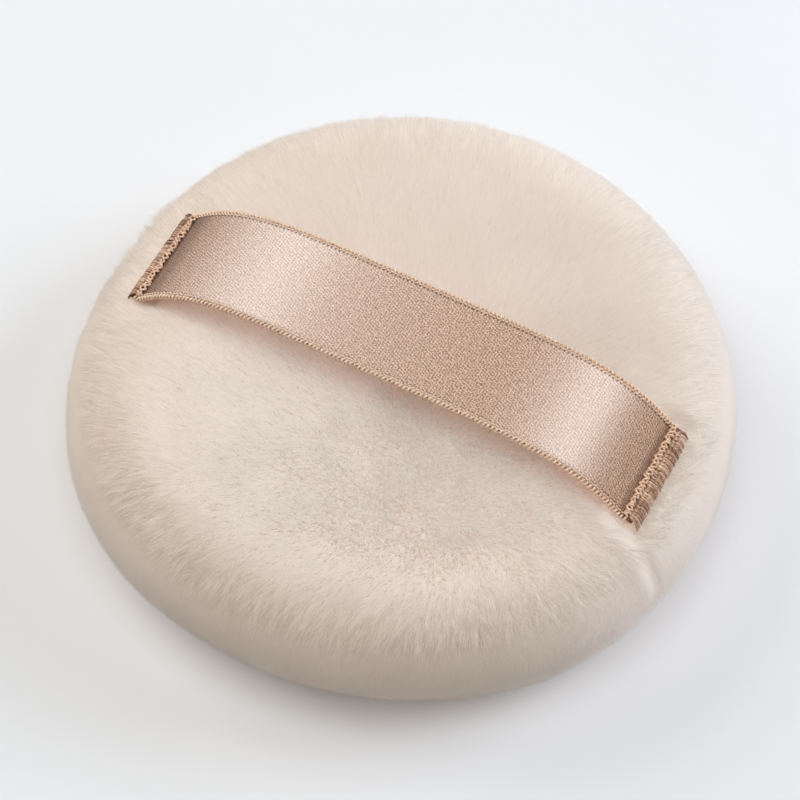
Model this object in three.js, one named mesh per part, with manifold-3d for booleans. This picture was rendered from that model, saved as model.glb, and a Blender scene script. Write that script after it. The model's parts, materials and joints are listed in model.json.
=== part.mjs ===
// Round plush powder puff: two plush panels sewn together at the rim over a foam core, with an
// arched satin finger ribbon tacked to the crown by a dense bar of stitches at each end.
// Millimetres, +Z up. The ribbon runs along X. The origin is the middle of the face that the
// puff rests on.
import * as THREE from 'three';
import * as BufferGeometryUtils from 'three/addons/utils/BufferGeometryUtils.js';
import Module from 'manifold-3d';

// Driving dimensions of the pad
const PAD_RADIUS = 40.5; // over the pile, at the rim
const RIM_HEIGHT = 9.2; // widest line of the pad, where the two panels are sewn together
const CROWN_RISE = 9.8; // top of the pile above the rim, at the middle
const CROWN_POWER = 6; // 2 gives an elliptical crown, and more gives a flatter one
const FACE_ROUNDING = 18; // width of the round edge beside the flat face
const PLUSH_THICKNESS = 2.8; // knitted backing with its pile
const BACKING_THICKNESS = 0.8; // sheared edge of a panel, inside the seam
const SEAM_ALLOWANCE = 4; // how far the sewn edges reach into the pad
const CLOSING_LENGTH = 24; // hand-closed stretch of the rim seam, along the sewn edges

// Driving dimensions of the ribbon and of its stitches
const RIBBON_WIDTH = 15; // over both corded edges
const RIBBON_THICKNESS = 0.5;
const EDGE_CORD_DIAMETER = 1;
const EDGE_GAP = 0.15; // between the band and each corded edge
const RIBBON_MARGIN = 8; // from the rim to the sewn end's inner edge
const RIBBON_RISE = 6.75; // of the arch above the sewn ends
const ARCH_POWER = 5.15; // 2 gives a parabola, and more gives a flatter middle
const TAB_LENGTH = 2.4; // sewn end of the ribbon, lying on the plush
const SEWN_DEPTH = 0.9; // how far the stitches pull the sewn end into the pile
const PINCH_MARGIN = 0.9; // pile held flat round the sewn end
const PINCH_FADE = 3; // from the flat pile up to the free crown
const DRAWN_IN = 0.5; // how far the pad's side is drawn in beyond each sewn end
const DRAWN_IN_REACH = 6; // how far below the rim the drawn-in side fades out
const THREAD_DIAMETER = 0.8; // bundle of stitches in one row
const TACK_THICKNESS = 0.55; // satin stitches over the sewn end
const TACK_RIDGE = 1.2; // width of the raised row of stitches

// Clearances between pieces that touch
const FIT_GAP = 0.3;
const TACK_GAP = 0.15;

// Mesh fineness
const SEGMENTS = 52;
const GATHER = 0.3; // draws the segments together towards the two ends of the ribbon
const CROWN_STEPS = 14;
const LINING_STEPS = 8;
const ARCH_STEPS = 36;
const CORD_SIDES = 8;
const SEAM_STEPS_LEAST = 4;
const BOBBIN_POINTS = 7;

// Sizes that follow from those above
const CROWN_HEIGHT = RIM_HEIGHT + CROWN_RISE;
const LINING_RADIUS = PAD_RADIUS - PLUSH_THICKNESS;
const HALF_SPAN = PAD_RADIUS - RIBBON_MARGIN;
const TAB_END = HALF_SPAN + TAB_LENGTH;
const BAND_WIDTH = RIBBON_WIDTH - 2 * (EDGE_CORD_DIAMETER + EDGE_GAP);
const RIDGE_X = HALF_SPAN + TACK_RIDGE / 2 + TACK_GAP;
const SEAT = RIBBON_THICKNESS / 2 + FIT_GAP; // ribbon's middle surface over the plush below it
const SEWN_EDGE_RADIUS = LINING_RADIUS - SEAM_ALLOWANCE;
const SEWN_EDGE_TOP = FIT_GAP / 2 + BACKING_THICKNESS;

const { smoothstep, lerp } = THREE.MathUtils;

// Outer surface of the crown over a radius
function crownZ(radius) {
  return RIM_HEIGHT + CROWN_RISE * Math.sqrt(1 - (radius / PAD_RADIUS) ** CROWN_POWER);
}

// Inner surface of the top panel over a radius
function liningZ(radius) {
  const share = (radius / LINING_RADIUS) ** CROWN_POWER;
  return RIM_HEIGHT + (CROWN_RISE - PLUSH_THICKNESS) * Math.sqrt(1 - share);
}

// The sewn ends lie parallel to the crown, pulled into the pile
const TAB_SLOPE = (crownZ(HALF_SPAN - FIT_GAP) - crownZ(HALF_SPAN + FIT_GAP)) / (2 * FIT_GAP);
const TAB_ANGLE = Math.atan(TAB_SLOPE);
const TAB_Z = crownZ(HALF_SPAN) - SEWN_DEPTH + SEAT;

// Middle surface of the ribbon's arch over a distance from the middle of the span
function archZ(x) {
  return TAB_Z + RIBBON_RISE * (1 - Math.abs(x / HALF_SPAN) ** ARCH_POWER);
}

// Middle surface of a sewn end, carried on in a straight line both ways
function tabZ(x) {
  return TAB_Z - TAB_SLOPE * (x - HALF_SPAN);
}

// Half of the crown's profile, from the axis out to a height above the rim
function domeProfile(radius, rise, lowest, steps) {
  const from = Math.PI / 2;
  const to = Math.asin(lowest / rise);
  return Array.from({ length: steps + 1 }, (_, i) => {
    const angle = from + ((to - from) * i) / steps;
    const reach = i === 0 ? 0 : Math.cos(angle) ** (2 / CROWN_POWER);
    return new THREE.Vector2(radius * reach, RIM_HEIGHT + rise * Math.sin(angle));
  });
}

// Half of the face's profile, from the axis out to a depth below the rim: a flat disc and a round edge
function bowlProfile(radius, base, lowest, steps) {
  const flat = radius - FACE_ROUNDING;
  const depth = RIM_HEIGHT - base;
  const to = Math.acos(lowest / depth);
  const edge = Array.from({ length: steps + 1 }, (_, i) => {
    const angle = (to * i) / steps;
    const reach = flat + FACE_ROUNDING * Math.sin(angle);
    return new THREE.Vector2(reach, RIM_HEIGHT - depth * Math.cos(angle));
  });
  return [new THREE.Vector2(0, base), ...edge];
}

// A profile turned about Z, with its segments gathered at the ribbon's ends and its points shaped
function revolve(profile, shape = () => {}) {
  const geometry = new THREE.LatheGeometry(profile, SEGMENTS).rotateX(Math.PI / 2);
  const { position } = geometry.attributes;
  const point = new THREE.Vector3();
  for (let i = 0; i < position.count; i += 1) {
    point.fromBufferAttribute(position, i);
    const radius = Math.hypot(point.x, point.y);
    const turn = Math.atan2(point.y, point.x);
    const angle = turn - GATHER * Math.sin(2 * turn);
    point.set(radius * Math.cos(angle), radius * Math.sin(angle), point.z);
    shape(point, i % profile.length);
    position.setXYZ(i, point.x, point.y, point.z);
  }
  return geometry;
}

// A section swept along a curve, closed at both ends
function sweep(section, curve, steps) {
  return new THREE.ExtrudeGeometry(section, { extrudePath: curve, steps, curveSegments: CORD_SIDES });
}

function roundSection(diameter) {
  const turn = (i) => (2 * Math.PI * i) / CORD_SIDES;
  const corner = (i) => new THREE.Vector2(Math.cos(turn(i)), Math.sin(turn(i))).multiplyScalar(diameter / 2);
  return new THREE.Shape(Array.from({ length: CORD_SIDES }, (_, i) => corner(i)));
}

// An outline drawn in X and Z, extruded along Y about the ribbon's middle line
function acrossRibbon(outline, width) {
  const geometry = new THREE.ExtrudeGeometry(new THREE.Shape(outline), { depth: width, bevelEnabled: false });
  return geometry.rotateX(Math.PI / 2).translate(0, width / 2, 0);
}

const wasm = await Module();
wasm.setup();

function toSolid(geometry) {
  const bare = geometry.clone();
  bare.deleteAttribute('normal');
  bare.deleteAttribute('uv');
  const merged = BufferGeometryUtils.mergeVertices(bare);
  const vertProperties = Float32Array.from(merged.attributes.position.array);
  const triVerts = Uint32Array.from(merged.index.array);
  return new wasm.Manifold(new wasm.Mesh({ numProp: 3, vertProperties, triVerts }));
}

function toGeometry(solid) {
  const mesh = solid.getMesh();
  const geometry = new THREE.BufferGeometry();
  geometry.setAttribute('position', new THREE.BufferAttribute(Float32Array.from(mesh.vertProperties), 3));
  geometry.setIndex(new THREE.BufferAttribute(Uint32Array.from(mesh.triVerts), 1));
  geometry.computeVertexNormals();
  return geometry;
}

// Share of a sewn end's pull that reaches a place beside the ribbon's middle line
function pullAcross(y) {
  const half = RIBBON_WIDTH / 2 + PINCH_MARGIN;
  return 1 - smoothstep(Math.abs(y), half, half + PINCH_FADE);
}

// Pile pressed flat under a sewn end, rising to the free crown around it
function pinch(point) {
  const x = Math.abs(point.x);
  const inner = smoothstep(x, HALF_SPAN - PINCH_MARGIN - PINCH_FADE, HALF_SPAN - PINCH_MARGIN);
  const outer = 1 - smoothstep(x, TAB_END + PINCH_MARGIN, TAB_END + PINCH_MARGIN + PINCH_FADE);
  const seat = Math.min(point.z, tabZ(x) - SEAT);
  point.z = lerp(point.z, seat, inner * outer * pullAcross(point.y));
}

// Side of the pad drawn in beyond a sewn end, fading out below the rim
function drawIn(point) {
  const beyond = smoothstep(Math.abs(point.x), TAB_END, TAB_END + PINCH_FADE);
  const above = smoothstep(point.z, RIM_HEIGHT - DRAWN_IN_REACH, RIM_HEIGHT);
  point.x -= Math.sign(point.x) * DRAWN_IN * beyond * above * pullAcross(point.y);
}

// Top panel: a plush dome with a sewn edge turned in at the rim
function topPanelGeometry() {
  const pile = domeProfile(PAD_RADIUS, CROWN_RISE, FIT_GAP / 2, CROWN_STEPS);
  const liningRise = CROWN_RISE - PLUSH_THICKNESS;
  const lining = domeProfile(LINING_RADIUS, liningRise, SEWN_EDGE_TOP, LINING_STEPS).reverse();
  const sewnEdge = [
    new THREE.Vector2(SEWN_EDGE_RADIUS, RIM_HEIGHT + FIT_GAP / 2),
    new THREE.Vector2(SEWN_EDGE_RADIUS, RIM_HEIGHT + SEWN_EDGE_TOP),
  ];
  const profile = [...pile, ...sewnEdge, ...lining].reverse();
  const firstPile = profile.length - pile.length;
  return revolve(profile, (point, index) => {
    if (index < firstPile) return;
    pinch(point);
    drawIn(point);
  });
}

// Face panel: a plush bowl with a flat face and a sewn edge turned in at the rim
function facePanelGeometry() {
  const pile = bowlProfile(PAD_RADIUS, 0, FIT_GAP / 2, LINING_STEPS);
  const lining = bowlProfile(LINING_RADIUS, PLUSH_THICKNESS, SEWN_EDGE_TOP, LINING_STEPS).reverse();
  const sewnEdge = [
    new THREE.Vector2(SEWN_EDGE_RADIUS, RIM_HEIGHT - FIT_GAP / 2),
    new THREE.Vector2(SEWN_EDGE_RADIUS, RIM_HEIGHT - SEWN_EDGE_TOP),
  ];
  return revolve([...pile, ...sewnEdge, ...lining], (point, index) => {
    if (index < pile.length) drawIn(point);
  });
}

// Rim seam: overlock stitches wrapped round both sewn edges, as a channel with its mouth outwards
const WRAP_INNER = SEWN_EDGE_TOP + FIT_GAP;
const WRAP_OUTER = WRAP_INNER + THREAD_DIAMETER / 2;
const WRAP_BACK = SEWN_EDGE_RADIUS - FIT_GAP - THREAD_DIAMETER / 2;
const WRAP_MOUTH = SEWN_EDGE_RADIUS + SEAM_ALLOWANCE / 2;

class SeamArc extends THREE.Curve {
  constructor(start, sweepAngle) {
    super();
    this.start = start;
    this.sweepAngle = sweepAngle;
  }

  getPoint(share, target = new THREE.Vector3()) {
    const angle = this.start + this.sweepAngle * share;
    return target.set(Math.cos(angle), Math.sin(angle), 0).multiplyScalar(SEWN_EDGE_RADIUS).setZ(RIM_HEIGHT);
  }
}

// The sweep's section lies in (-Z, inward) of the arc, so points are turned from (radius, height)
function seamGeometry(start, sweepAngle) {
  const outline = [
    [WRAP_MOUTH, WRAP_OUTER], [WRAP_BACK, WRAP_OUTER], [WRAP_BACK, -WRAP_OUTER], [WRAP_MOUTH, -WRAP_OUTER],
    [WRAP_MOUTH, -WRAP_INNER], [SEWN_EDGE_RADIUS - FIT_GAP, -WRAP_INNER],
    [SEWN_EDGE_RADIUS - FIT_GAP, WRAP_INNER], [WRAP_MOUTH, WRAP_INNER],
  ];
  const corners = outline.map(([radius, height]) => new THREE.Vector2(-height, SEWN_EDGE_RADIUS - radius));
  const steps = Math.max(SEAM_STEPS_LEAST, Math.round((SEGMENTS * sweepAngle) / (2 * Math.PI)));
  return sweep(new THREE.Shape(corners), new SeamArc(start, sweepAngle), steps);
}

// Row of bobbin stitches under the top panel, below a bar tack
function bobbinGeometry(diameter, overrun) {
  const half = BAND_WIDTH / 2 + overrun;
  const depth = FIT_GAP + THREAD_DIAMETER / 2;
  const share = (i) => (2 * i) / (BOBBIN_POINTS - 1) - 1;
  const places = Array.from({ length: BOBBIN_POINTS }, (_, i) => half * share(i));
  const points = places.map((y) => new THREE.Vector3(RIDGE_X, y, liningZ(Math.hypot(RIDGE_X, y)) - depth));
  return sweep(roundSection(diameter), new THREE.CatmullRomCurve3(points), places.length + 1);
}

// Foam core: fills the cover, with a groove for the sewn edges and a dent for each bobbin row
function coreGeometry() {
  const grooveHalf = WRAP_OUTER + FIT_GAP;
  const groove = WRAP_BACK - FIT_GAP;
  const radius = LINING_RADIUS - FIT_GAP;
  const rise = CROWN_RISE - PLUSH_THICKNESS - FIT_GAP;
  const profile = [
    ...bowlProfile(radius, PLUSH_THICKNESS + FIT_GAP, grooveHalf, LINING_STEPS),
    new THREE.Vector2(groove, RIM_HEIGHT - grooveHalf),
    new THREE.Vector2(groove, RIM_HEIGHT + grooveHalf),
    ...domeProfile(radius, rise, grooveHalf, LINING_STEPS).reverse(),
  ];
  const dent = bobbinGeometry(THREAD_DIAMETER + 2 * FIT_GAP, FIT_GAP);
  const dents = [0, Math.PI].map((turn) => toSolid(dent.clone().rotateZ(turn)));
  return toGeometry(dents.reduce((core, cut) => core.subtract(cut), toSolid(revolve(profile))));
}

// The ribbon's middle line from one end to the other, in X and Z, closer together at the bends
function ribbonLine(reach) {
  const arch = Array.from({ length: ARCH_STEPS + 1 }, (_, i) => {
    const x = HALF_SPAN * Math.sin(Math.PI * (i / ARCH_STEPS - 0.5));
    return new THREE.Vector2(x, archZ(x));
  });
  if (reach <= 0) return arch;
  return [
    new THREE.Vector2(-HALF_SPAN - reach, tabZ(HALF_SPAN + reach)),
    ...arch,
    new THREE.Vector2(HALF_SPAN + reach, tabZ(HALF_SPAN + reach)),
  ];
}

// A line moved sideways by a distance, square to its own direction
function offsetLine(line, distance) {
  return line.map((point, i) => {
    const before = line[Math.max(i - 1, 0)];
    const after = line[Math.min(i + 1, line.length - 1)];
    const along = after.clone().sub(before).normalize();
    return new THREE.Vector2(point.x - along.y * distance, point.y + along.x * distance);
  });
}

function bandGeometry() {
  const line = ribbonLine(TAB_LENGTH);
  const upper = offsetLine(line, RIBBON_THICKNESS / 2);
  const lower = offsetLine(line, -RIBBON_THICKNESS / 2);
  return acrossRibbon([...lower, ...upper.reverse()], BAND_WIDTH);
}

// Corded edge: runs along the arch and stops where the bar tacks cover it
function edgeCordGeometry(side) {
  const y = (side * (RIBBON_WIDTH - EDGE_CORD_DIAMETER)) / 2;
  const points = ribbonLine(0).map((point) => new THREE.Vector3(point.x, y, point.y));
  return sweep(roundSection(EDGE_CORD_DIAMETER), new THREE.CatmullRomCurve3(points), ARCH_STEPS);
}

// Bar tack: a raised row of stitches and a satin band that wraps over the ribbon's cut end.
// Drawn along the sewn end from its inner edge, with the ribbon's middle surface at zero height.
function tackGeometry() {
  const base = RIBBON_THICKNESS / 2 + TACK_GAP;
  const top = base + TACK_THICKNESS;
  const ridge = RIDGE_X - HALF_SPAN;
  const end = TAB_LENGTH / Math.cos(TAB_ANGLE) + TACK_GAP;
  const crest = Array.from({ length: CORD_SIDES + 1 }, (_, i) => {
    const angle = (Math.PI * i) / CORD_SIDES;
    const reach = ridge + (TACK_RIDGE / 2) * Math.cos(angle);
    return new THREE.Vector2(reach, top + (TACK_RIDGE / 2) * Math.sin(angle));
  });
  const outline = [
    new THREE.Vector2(ridge - TACK_RIDGE / 2, base),
    new THREE.Vector2(end, base),
    new THREE.Vector2(end, -RIBBON_THICKNESS / 2),
    new THREE.Vector2(end + TACK_THICKNESS, -RIBBON_THICKNESS / 2),
    new THREE.Vector2(end + TACK_THICKNESS, base),
    new THREE.Vector2(end, top),
    ...crest,
  ];
  return acrossRibbon(outline, RIBBON_WIDTH);
}

const plush = new THREE.MeshStandardMaterial({ color: 0xe9dccf, roughness: 0.95, metalness: 0 });
const foam = new THREE.MeshStandardMaterial({ color: 0xf2e7d3, roughness: 1, metalness: 0 });
const satin = new THREE.MeshStandardMaterial({ color: 0xc9a88f, roughness: 0.35, metalness: 0 });
const thread = new THREE.MeshStandardMaterial({ color: 0xb98f74, roughness: 0.6, metalness: 0 });
const seamThread = new THREE.MeshStandardMaterial({ color: 0xe4d5c5, roughness: 0.8, metalness: 0 });

function piece(name, geometry, material) {
  const mesh = new THREE.Mesh(geometry, material);
  mesh.name = name;
  return mesh;
}

// The closing stretch of the seam is at the back, with a small gap to the machine seam on both sides
const closing = CLOSING_LENGTH / SEWN_EDGE_RADIUS;
const seamBreak = FIT_GAP / SEWN_EDGE_RADIUS;
const closingStart = Math.PI / 2 - closing / 2;
const machineStart = closingStart + closing + seamBreak;
const machineSweep = 2 * Math.PI - closing - 2 * seamBreak;

const pad = new THREE.Group();
pad.add(
  piece('top_panel', topPanelGeometry(), plush),
  piece('face_panel', facePanelGeometry(), plush),
  piece('foam_core', coreGeometry(), foam),
  piece('closing_stitch', seamGeometry(closingStart, closing), seamThread),
  piece('rim_seam', seamGeometry(machineStart, machineSweep), seamThread),
);

const ribbon = new THREE.Group();
ribbon.add(
  piece('ribbon_band', bandGeometry(), satin),
  piece('ribbon_edge_front', edgeCordGeometry(-1), thread),
  piece('ribbon_edge_back', edgeCordGeometry(1), thread),
);

const tacks = new THREE.Group();
for (const [side, turn] of [['right', 0], ['left', Math.PI]]) {
  const end = new THREE.Group();
  end.rotation.z = turn;
  const tack = piece(`bar_tack_${side}`, tackGeometry(), thread);
  tack.position.set(HALF_SPAN, 0, TAB_Z);
  tack.rotation.y = TAB_ANGLE;
  end.add(tack, piece(`bobbin_row_${side}`, bobbinGeometry(THREAD_DIAMETER, 0), seamThread));
  tacks.add(end);
}

const puff = new THREE.Group();
puff.add(pad, ribbon, tacks);
export default puff;
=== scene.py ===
"""Looks of a round plush powder puff with a satin finger ribbon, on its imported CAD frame.

Everything is in metres in the CAD frame: +Z is up, X runs along the ribbon, and the origin is the
middle of the face that the puff rests on.
"""

import json
import logging
import math
from collections.abc import Iterator, Mapping, Sequence
from dataclasses import dataclass
from enum import Enum

import bpy
import numpy as np
from mathutils import Matrix, Vector, kdtree


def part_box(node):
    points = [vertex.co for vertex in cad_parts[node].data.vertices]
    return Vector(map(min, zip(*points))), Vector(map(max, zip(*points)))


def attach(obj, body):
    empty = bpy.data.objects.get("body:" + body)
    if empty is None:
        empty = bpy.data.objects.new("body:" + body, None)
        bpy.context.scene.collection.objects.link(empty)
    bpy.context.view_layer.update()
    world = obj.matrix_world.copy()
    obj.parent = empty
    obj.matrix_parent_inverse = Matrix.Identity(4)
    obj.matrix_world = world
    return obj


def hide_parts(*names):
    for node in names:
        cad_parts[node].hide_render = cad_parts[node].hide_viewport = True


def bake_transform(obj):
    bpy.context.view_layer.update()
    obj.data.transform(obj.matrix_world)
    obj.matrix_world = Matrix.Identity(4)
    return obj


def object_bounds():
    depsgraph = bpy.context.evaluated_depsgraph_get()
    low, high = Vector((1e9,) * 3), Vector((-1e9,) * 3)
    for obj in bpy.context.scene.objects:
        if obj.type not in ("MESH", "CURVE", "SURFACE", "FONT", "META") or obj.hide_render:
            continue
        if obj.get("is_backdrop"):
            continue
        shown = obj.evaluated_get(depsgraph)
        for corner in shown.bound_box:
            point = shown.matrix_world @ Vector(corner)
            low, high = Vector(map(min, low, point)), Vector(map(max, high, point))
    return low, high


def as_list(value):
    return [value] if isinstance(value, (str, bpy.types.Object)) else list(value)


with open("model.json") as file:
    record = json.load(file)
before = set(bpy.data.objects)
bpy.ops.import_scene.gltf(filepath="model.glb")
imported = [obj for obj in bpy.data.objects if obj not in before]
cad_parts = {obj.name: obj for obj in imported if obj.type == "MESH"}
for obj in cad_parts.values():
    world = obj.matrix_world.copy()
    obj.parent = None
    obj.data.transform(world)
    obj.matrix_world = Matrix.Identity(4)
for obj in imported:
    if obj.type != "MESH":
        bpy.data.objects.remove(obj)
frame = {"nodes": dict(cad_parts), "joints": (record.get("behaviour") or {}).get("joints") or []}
CAD_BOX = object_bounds()

LOG = logging.getLogger("powder_puff")
MM = 0.001
SEED = 20
IMAGE_SIDE = 800
SENSOR_WIDTH = 36.0
TURN = 2.0 * math.pi

# Each edge and each sewn end of the ribbon draws random numbers of its own.
EDGE_STREAM = 1
END_STREAM = 7

Colour = tuple[float, float, float]
Mesh = tuple[np.ndarray, np.ndarray]
Laid = tuple[np.ndarray, np.ndarray, np.ndarray]

WHITE: Colour = (1.0, 1.0, 1.0)


class Body(Enum):
    """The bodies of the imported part."""

    PUFF = "puff"
    RIBBON = "ribbon"


class Slot(Enum):
    """The record's material slots."""

    PLUSH = "plush"
    FOAM = "foam"
    SEAM_THREAD = "seam_thread"
    SATIN = "satin"
    EDGE_THREAD = "edge_thread"


class End(Enum):
    """The ribbon's sewn ends, with the sign of X on that side."""

    LEFT = -1
    RIGHT = 1


class Edge(Enum):
    """The ribbon's long edges, with the sign of Y on that side."""

    FRONT = -1
    BACK = 1


class Value:
    """An output of a material's nodes. Python's operators on it add Math nodes."""

    def __init__(self, owner: "Nodes", socket: bpy.types.NodeSocket) -> None:
        """Keeps the socket and the tree that it belongs to."""
        self.owner = owner
        self.socket = socket

    def maths(self, operation: str, *terms: "Value | float") -> "Value":
        """Adds one Math node.

        Args:
            operation: The Math node's operation.
            terms: Its inputs in order.

        Returns:
            The node's result.
        """
        return self.owner.node("ShaderNodeMath", {"operation": operation}, dict(enumerate(terms)))

    def __add__(self, other: "Value | float") -> "Value":
        """Sum."""
        return self.maths("ADD", self, other)

    __radd__ = __add__

    def __sub__(self, other: "Value | float") -> "Value":
        """Difference."""
        return self.maths("SUBTRACT", self, other)

    def __rsub__(self, other: "Value | float") -> "Value":
        """Difference with the operands exchanged."""
        return self.maths("SUBTRACT", other, self)

    def __mul__(self, other: "Value | float") -> "Value":
        """Product."""
        return self.maths("MULTIPLY", self, other)

    __rmul__ = __mul__

    def __pow__(self, other: "Value | float") -> "Value":
        """Power."""
        return self.maths("POWER", self, other)

    def __abs__(self) -> "Value":
        """Size without sign."""
        return self.maths("ABSOLUTE", self)

    def sine(self) -> "Value":
        """Sine of an angle in radians."""
        return self.maths("SINE", self)

    def ramp(self, low: float, high: float) -> "Value":
        """Smooth step from 0 at low to 1 at high."""
        limits = {0: self, 1: low, 2: high, 3: 0.0, 4: 1.0}
        return self.owner.node("ShaderNodeMapRange", {"interpolation_type": "SMOOTHSTEP"}, limits)

    def from_nearest(self, period: float) -> "Value":
        """Distance from the nearest whole multiple of a period."""
        return abs(self.maths("WRAP", self, 0.5 * period, -0.5 * period))


class Nodes:
    """A tree of shader nodes."""

    def __init__(self, tree: bpy.types.NodeTree) -> None:
        """Takes a tree and empties it."""
        self.tree = tree
        self.tree.nodes.clear()

    def node(
        self,
        kind: str,
        settings: Mapping[str, object] | None = None,
        inputs: Mapping[str | int, object] | None = None,
        output: str | int = 0,
    ) -> Value:
        """Adds one node.

        Args:
            kind: The node's type.
            settings: Its own settings, set before its sockets.
            inputs: A value or a link for each socket that is used, by name or place.
            output: The output that is returned.

        Returns:
            That output.
        """
        made = self.tree.nodes.new(kind)
        for name, setting in (settings or {}).items():
            setattr(made, name, setting)
        for key, value in (inputs or {}).items():
            if isinstance(value, Value):
                self.tree.links.new(value.socket, made.inputs[key])
            else:
                made.inputs[key].default_value = value
        return Value(self, made.outputs[output])

    def seen(self) -> Value:
        """1 where the camera looks straight at it, otherwise 0."""
        return self.node("ShaderNodeLightPath", output="Is Camera Ray")

    def end(self, kind: str, shader: Value) -> None:
        """Ends the tree with its output node."""
        made = self.tree.nodes.new(kind)
        self.tree.links.new(shader.socket, made.inputs["Surface"])


class NodeMaterial(Nodes):
    """A material that is made of nodes."""

    def __init__(self, name: str) -> None:
        """Makes an empty material.

        Args:
            name: The material's name.
        """
        self.material = bpy.data.materials.new(name)
        self.material.use_nodes = True
        super().__init__(self.material.node_tree)

    def attribute(self, name: str) -> Value:
        """The number that a mesh keeps under that name."""
        return self.node("ShaderNodeAttribute", {"attribute_name": name}, output="Fac")

    def place(self) -> Value:
        """Where a point lies in its object, in metres."""
        return self.node("ShaderNodeTexCoord", output="Object")

    def vector(self, x: Value | float, y: Value | float) -> Value:
        """A flat vector from two numbers."""
        return self.node("ShaderNodeCombineXYZ", inputs={"X": x, "Y": y})

    def noise(self, place: Value, size: float, detail: float = 2.0) -> Value:
        """Soft random patches, from 0 to 1.

        Args:
            place: Where the patches are looked up.
            size: About how long a patch is, in the same unit.
            detail: How many finer layers are added.

        Returns:
            The patches.
        """
        inputs = {"Vector": place, "Scale": 1.0 / size, "Detail": detail}
        return self.node("ShaderNodeTexNoise", inputs=inputs)

    def mix(
        self,
        share: Value | float,
        first: Value | Colour,
        second: Value | Colour,
        blend: str = "MIX",
    ) -> Value:
        """Mixes two colours.

        Args:
            share: 0 gives the first colour and 1 the second.
            first: A colour or a link.
            second: A colour or a link.
            blend: How the second colour goes on the first.

        Returns:
            The mixed colour.
        """
        colours = [c if isinstance(c, Value) else (*c, 1.0) for c in (first, second)]
        # By place, the share is input 0, the colours are inputs 6 and 7, and their mix is output 2.
        inputs = {0: share, 6: colours[0], 7: colours[1]}
        return self.node("ShaderNodeMix", {"data_type": "RGBA", "blend_type": blend}, inputs, output=2)

    def bump(self, height: Value, depth: float, strength: float = 1.0) -> Value:
        """Small relief, given as a height from 0 to 1 and its depth in metres."""
        inputs = {"Strength": strength, "Distance": depth, "Height": height}
        return self.node("ShaderNodeBump", inputs=inputs)

    def surface(self, **inputs: object) -> bpy.types.Material:
        """Ends the material with a Principled shader.

        Args:
            inputs: The shader's sockets, with _ for a space.

        Returns:
            The finished material.
        """
        named = {name.replace("_", " "): value for name, value in inputs.items()}
        self.end("ShaderNodeOutputMaterial", self.node("ShaderNodeBsdfPrincipled", inputs=named))
        return self.material


def srgb(red: int, green: int, blue: int) -> Colour:
    """A screen colour as a linear colour.

    Args:
        red: Red, from 0 to 255.
        green: Green, from 0 to 255.
        blue: Blue, from 0 to 255.

    Returns:
        The linear colour, with each channel from 0 to 1.
    """

    def linear(level: int) -> float:
        """One channel of it, by the curve that defines screen colours."""
        share = level / 255
        return share / 12.92 if share <= 0.04045 else ((share + 0.055) / 1.055) ** 2.4

    return linear(red), linear(green), linear(blue)


def smoothstep(values: np.ndarray, low: float, high: np.ndarray | float) -> np.ndarray:
    """Smooth step from 0 at low to 1 at high."""
    share = np.clip((values - low) / (high - low), 0.0, 1.0)
    return share * share * (3.0 - 2.0 * share)


def unit(vectors: np.ndarray) -> np.ndarray:
    """Vectors along the last axis, made one long."""
    return vectors / np.maximum(np.linalg.norm(vectors, axis=-1, keepdims=True), 1e-12)


def mesh_object(name: str, points: np.ndarray, faces: Sequence[np.ndarray]) -> bpy.types.Object:
    """Makes a smooth-shaded mesh object at the origin.

    Args:
        name: The object's name.
        points: One row of three coordinates for each vertex.
        faces: Arrays of vertex numbers, each with one row for each face.

    Returns:
        The object, linked to the scene.
    """
    mesh = bpy.data.meshes.new(name)
    mesh.vertices.add(len(points))
    mesh.vertices.foreach_set("co", np.asarray(points, np.float32).ravel())
    corners = np.concatenate([rows.ravel() for rows in faces]).astype(np.int32)
    sizes = np.concatenate([np.full(len(rows), rows.shape[1]) for rows in faces])
    starts = np.concatenate([[0], np.cumsum(sizes)[:-1]]).astype(np.int32)
    mesh.loops.add(len(corners))
    mesh.loops.foreach_set("vertex_index", corners)
    mesh.polygons.add(len(sizes))
    mesh.polygons.foreach_set("loop_start", starts)
    mesh.polygons.foreach_set("use_smooth", np.ones(len(sizes), bool))
    mesh.update(calc_edges=True)
    made = bpy.data.objects.new(name, mesh)
    bpy.context.scene.collection.objects.link(made)
    return made


def keep_numbers(piece: bpy.types.Object, name: str, values: np.ndarray) -> None:
    """Keeps one number for each vertex of a piece, for its material to read."""
    layer = piece.data.attributes.new(name, "FLOAT", "POINT")
    layer.data.foreach_set("value", np.asarray(values, np.float32).ravel())


def dress(piece: bpy.types.Object, material: bpy.types.Material, slot: Slot) -> bpy.types.Object:
    """Gives a piece its only material.

    Args:
        piece: The piece.
        material: The material.
        slot: The record's slot for it; not used.

    Returns:
        The same piece.
    """
    piece.data.materials.clear()
    piece.data.materials.append(material)
    return piece


def strip_faces(rows: int, columns: int, closed: bool) -> np.ndarray:
    """Faces of a grid of vertices.

    Args:
        rows: Lines of vertices.
        columns: Vertices in a line.
        closed: Whether each line's last vertex joins its first.

    Returns:
        One row of four vertex numbers for each face.
    """
    across = np.arange(columns if closed else columns - 1)
    beside = (across + 1) % columns
    start = np.arange(rows - 1)[:, None] * columns
    corners = [start + across, start + beside, start + columns + beside, start + columns + across]
    return np.stack(corners, -1).reshape(-1, 4)


def joined(parts: Sequence[Mesh]) -> Mesh:
    """Several meshes of one face size as one.

    Args:
        parts: Vertices and faces of each mesh.

    Returns:
        The vertices and faces of all of them.
    """
    starts = np.cumsum([0, *[len(points) for points, _ in parts[:-1]]])
    faces = [rows + start for (_, rows), start in zip(parts, starts, strict=True)]
    return np.concatenate([points for points, _ in parts]), np.concatenate(faces)


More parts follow.
